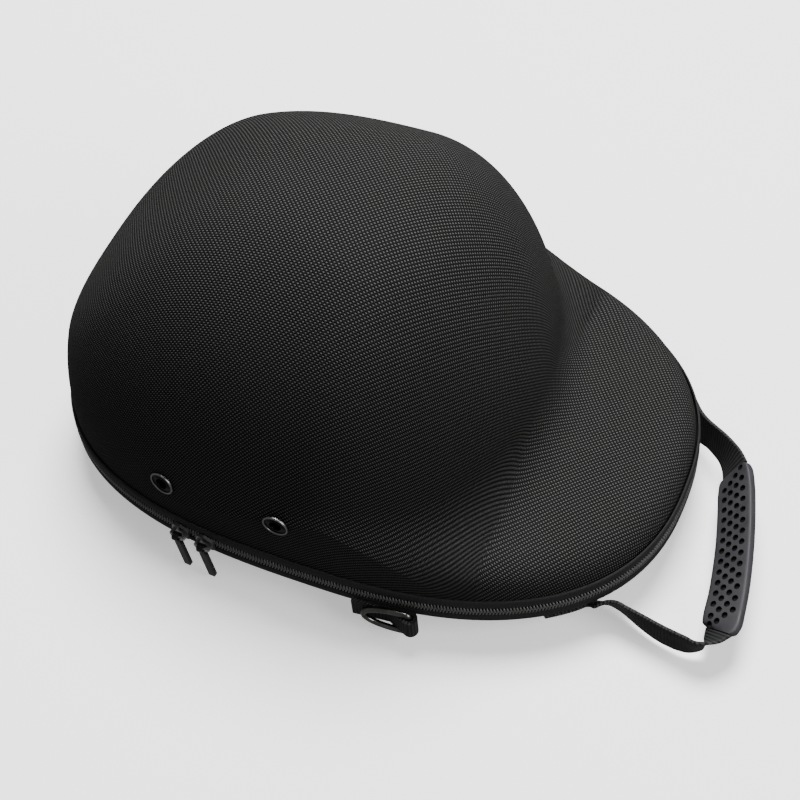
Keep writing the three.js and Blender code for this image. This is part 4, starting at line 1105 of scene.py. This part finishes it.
HOLE_RADIUS, HOLE_DEPTH = 1.45, 1.4
HOLE_PITCH, HOLE_SPREAD, HOLES_ACROSS = 5.3, 3.3, 4
GRIP_END_MARGIN, GRIP_TAPER = 5.0, 5.0
GRIP_END_WIDTH, GRIP_END_THICKNESS = 0.8, 0.62
DRILL_START = -2.0


def grip():
    section = rounded_band(GRIP_WIDTH, GRIP_THICKNESS, 14, 3.6)
    rings = []
    count = 90
    for i in range(count + 1):
        d = GRIP_FROM + GRIP_LENGTH * i / count
        centre, across, _, through = handle_frame(d)
        end = min(d - GRIP_FROM, GRIP_TO - d)
        fullness = math.sqrt(1 - (1 - min(1.0, end / GRIP_TAPER)) ** 2)
        wide = GRIP_END_WIDTH + (1 - GRIP_END_WIDTH) * fullness
        thick = GRIP_END_THICKNESS + (1 - GRIP_END_THICKNESS) * fullness
        rings.append([centre + across * x * wide + through * y * thick for x, y in section])
    points, faces = swept(rings)
    obj = make("grip_sleeve", points, faces, None, "root", ["handle_grip"], 45)
    paint(obj, GRIP)
    rows = int((GRIP_LENGTH - 2 * GRIP_END_MARGIN) / HOLE_PITCH)
    turn = np.linspace(0, 2 * math.pi, 14, endpoint=False)
    all_points, all_faces, base = [], [], 0
    for row in range(rows + 1):
        for column in range(HOLES_ACROSS):
            share = column - (HOLES_ACROSS - 1) / 2
            middle = (GRIP_FROM + GRIP_TO) / 2 + (row - rows / 2) * HOLE_PITCH
            centre, across, along, through = handle_frame(middle + share * HOLE_PITCH / 2)
            mouth = centre + across * share * HOLE_SPREAD - through * GRIP_THICKNESS / 2
            rim = [along * math.cos(t) * HOLE_RADIUS + across * math.sin(t) * HOLE_RADIUS for t in turn]
            p, f = swept([[mouth + r + through * depth for r in rim] for depth in (DRILL_START, HOLE_DEPTH)])
            all_points.append(p)
            all_faces += [tuple(i + base for i in face) for face in f]
            base += len(p)
    holes = make("grip_holes", np.concatenate(all_points), all_faces)
    # The holes' walls and floors take the near-black painted shade.
    paint(holes, HOLE_SHADE)
    cut(obj, [holes])
    obj.data.set_sharp_from_angle(angle=45 * RAD)


def sliders_and_pulls():
    for name in ("rear", "front"):
        slider, pull = NODES[f"slider_{name}"], NODES[f"zip_pull_{name}"]
        bevel(slider, 0.35, 3)
        bevel(pull, 0.45, 3)
        paint(slider, SLIDER)
        paint(pull, PULL)


upper_shell()
lower_shell()
seam()
zip_coil()
eyelets()
rings_and_tabs()
handle()
grip()
sliders_and_pulls()


# Floor and light


def add_floor():
    size, low = 4.0, -0.0005
    mesh = bpy.data.meshes.new("floor")
    corners = [(-size, -size, low), (size, -size, low), (size, size, low), (-size, size, low)]
    mesh.from_pydata(corners, [], [(0, 1, 2, 3)])
    floor = bpy.data.objects.new("floor", mesh)
    bpy.context.scene.collection.objects.link(floor)
    s = Shader("pale_floor", Roughness=0.9, Emission_Color=rgb(1, 1, 1), Emission_Strength=0.55)
    s.set("Base Color", s.mix(s.noise(3.0), rgb(0.86, 0.86, 0.86), rgb(0.9, 0.9, 0.9)))
    mesh.materials.append(s.material)
    # The floor glows for a pale background, so it is kept from lighting the case or showing in its gloss
    floor.visible_diffuse = False
    floor.visible_glossy = False


LIGHT_AIM = Vector((0, 0, 0.05))


def add_light(name, place_at, size, watts):
    data = bpy.data.lights.new(name, "AREA")
    data.shape = "DISK"
    data.size = size
    data.energy = watts
    light = bpy.data.objects.new(name, data)
    light.location = place_at
    light.rotation_euler = (LIGHT_AIM - Vector(place_at)).to_track_quat("-Z", "Y").to_euler()
    bpy.context.scene.collection.objects.link(light)


def add_world(strength):
    world = bpy.data.worlds.new("studio")
    bpy.context.scene.world = world
    world.use_nodes = True
    background = world.node_tree.nodes["Background"]
    background.inputs["Color"].default_value = rgb(1, 1, 1)
    background.inputs["Strength"].default_value = strength


add_floor()
add_world(0.26)
add_light("key", (0.7, 0.12, 1.8), size=1.0, watts=98)
add_light("front", (-0.2, -1.4, 1.0), size=1.0, watts=22)
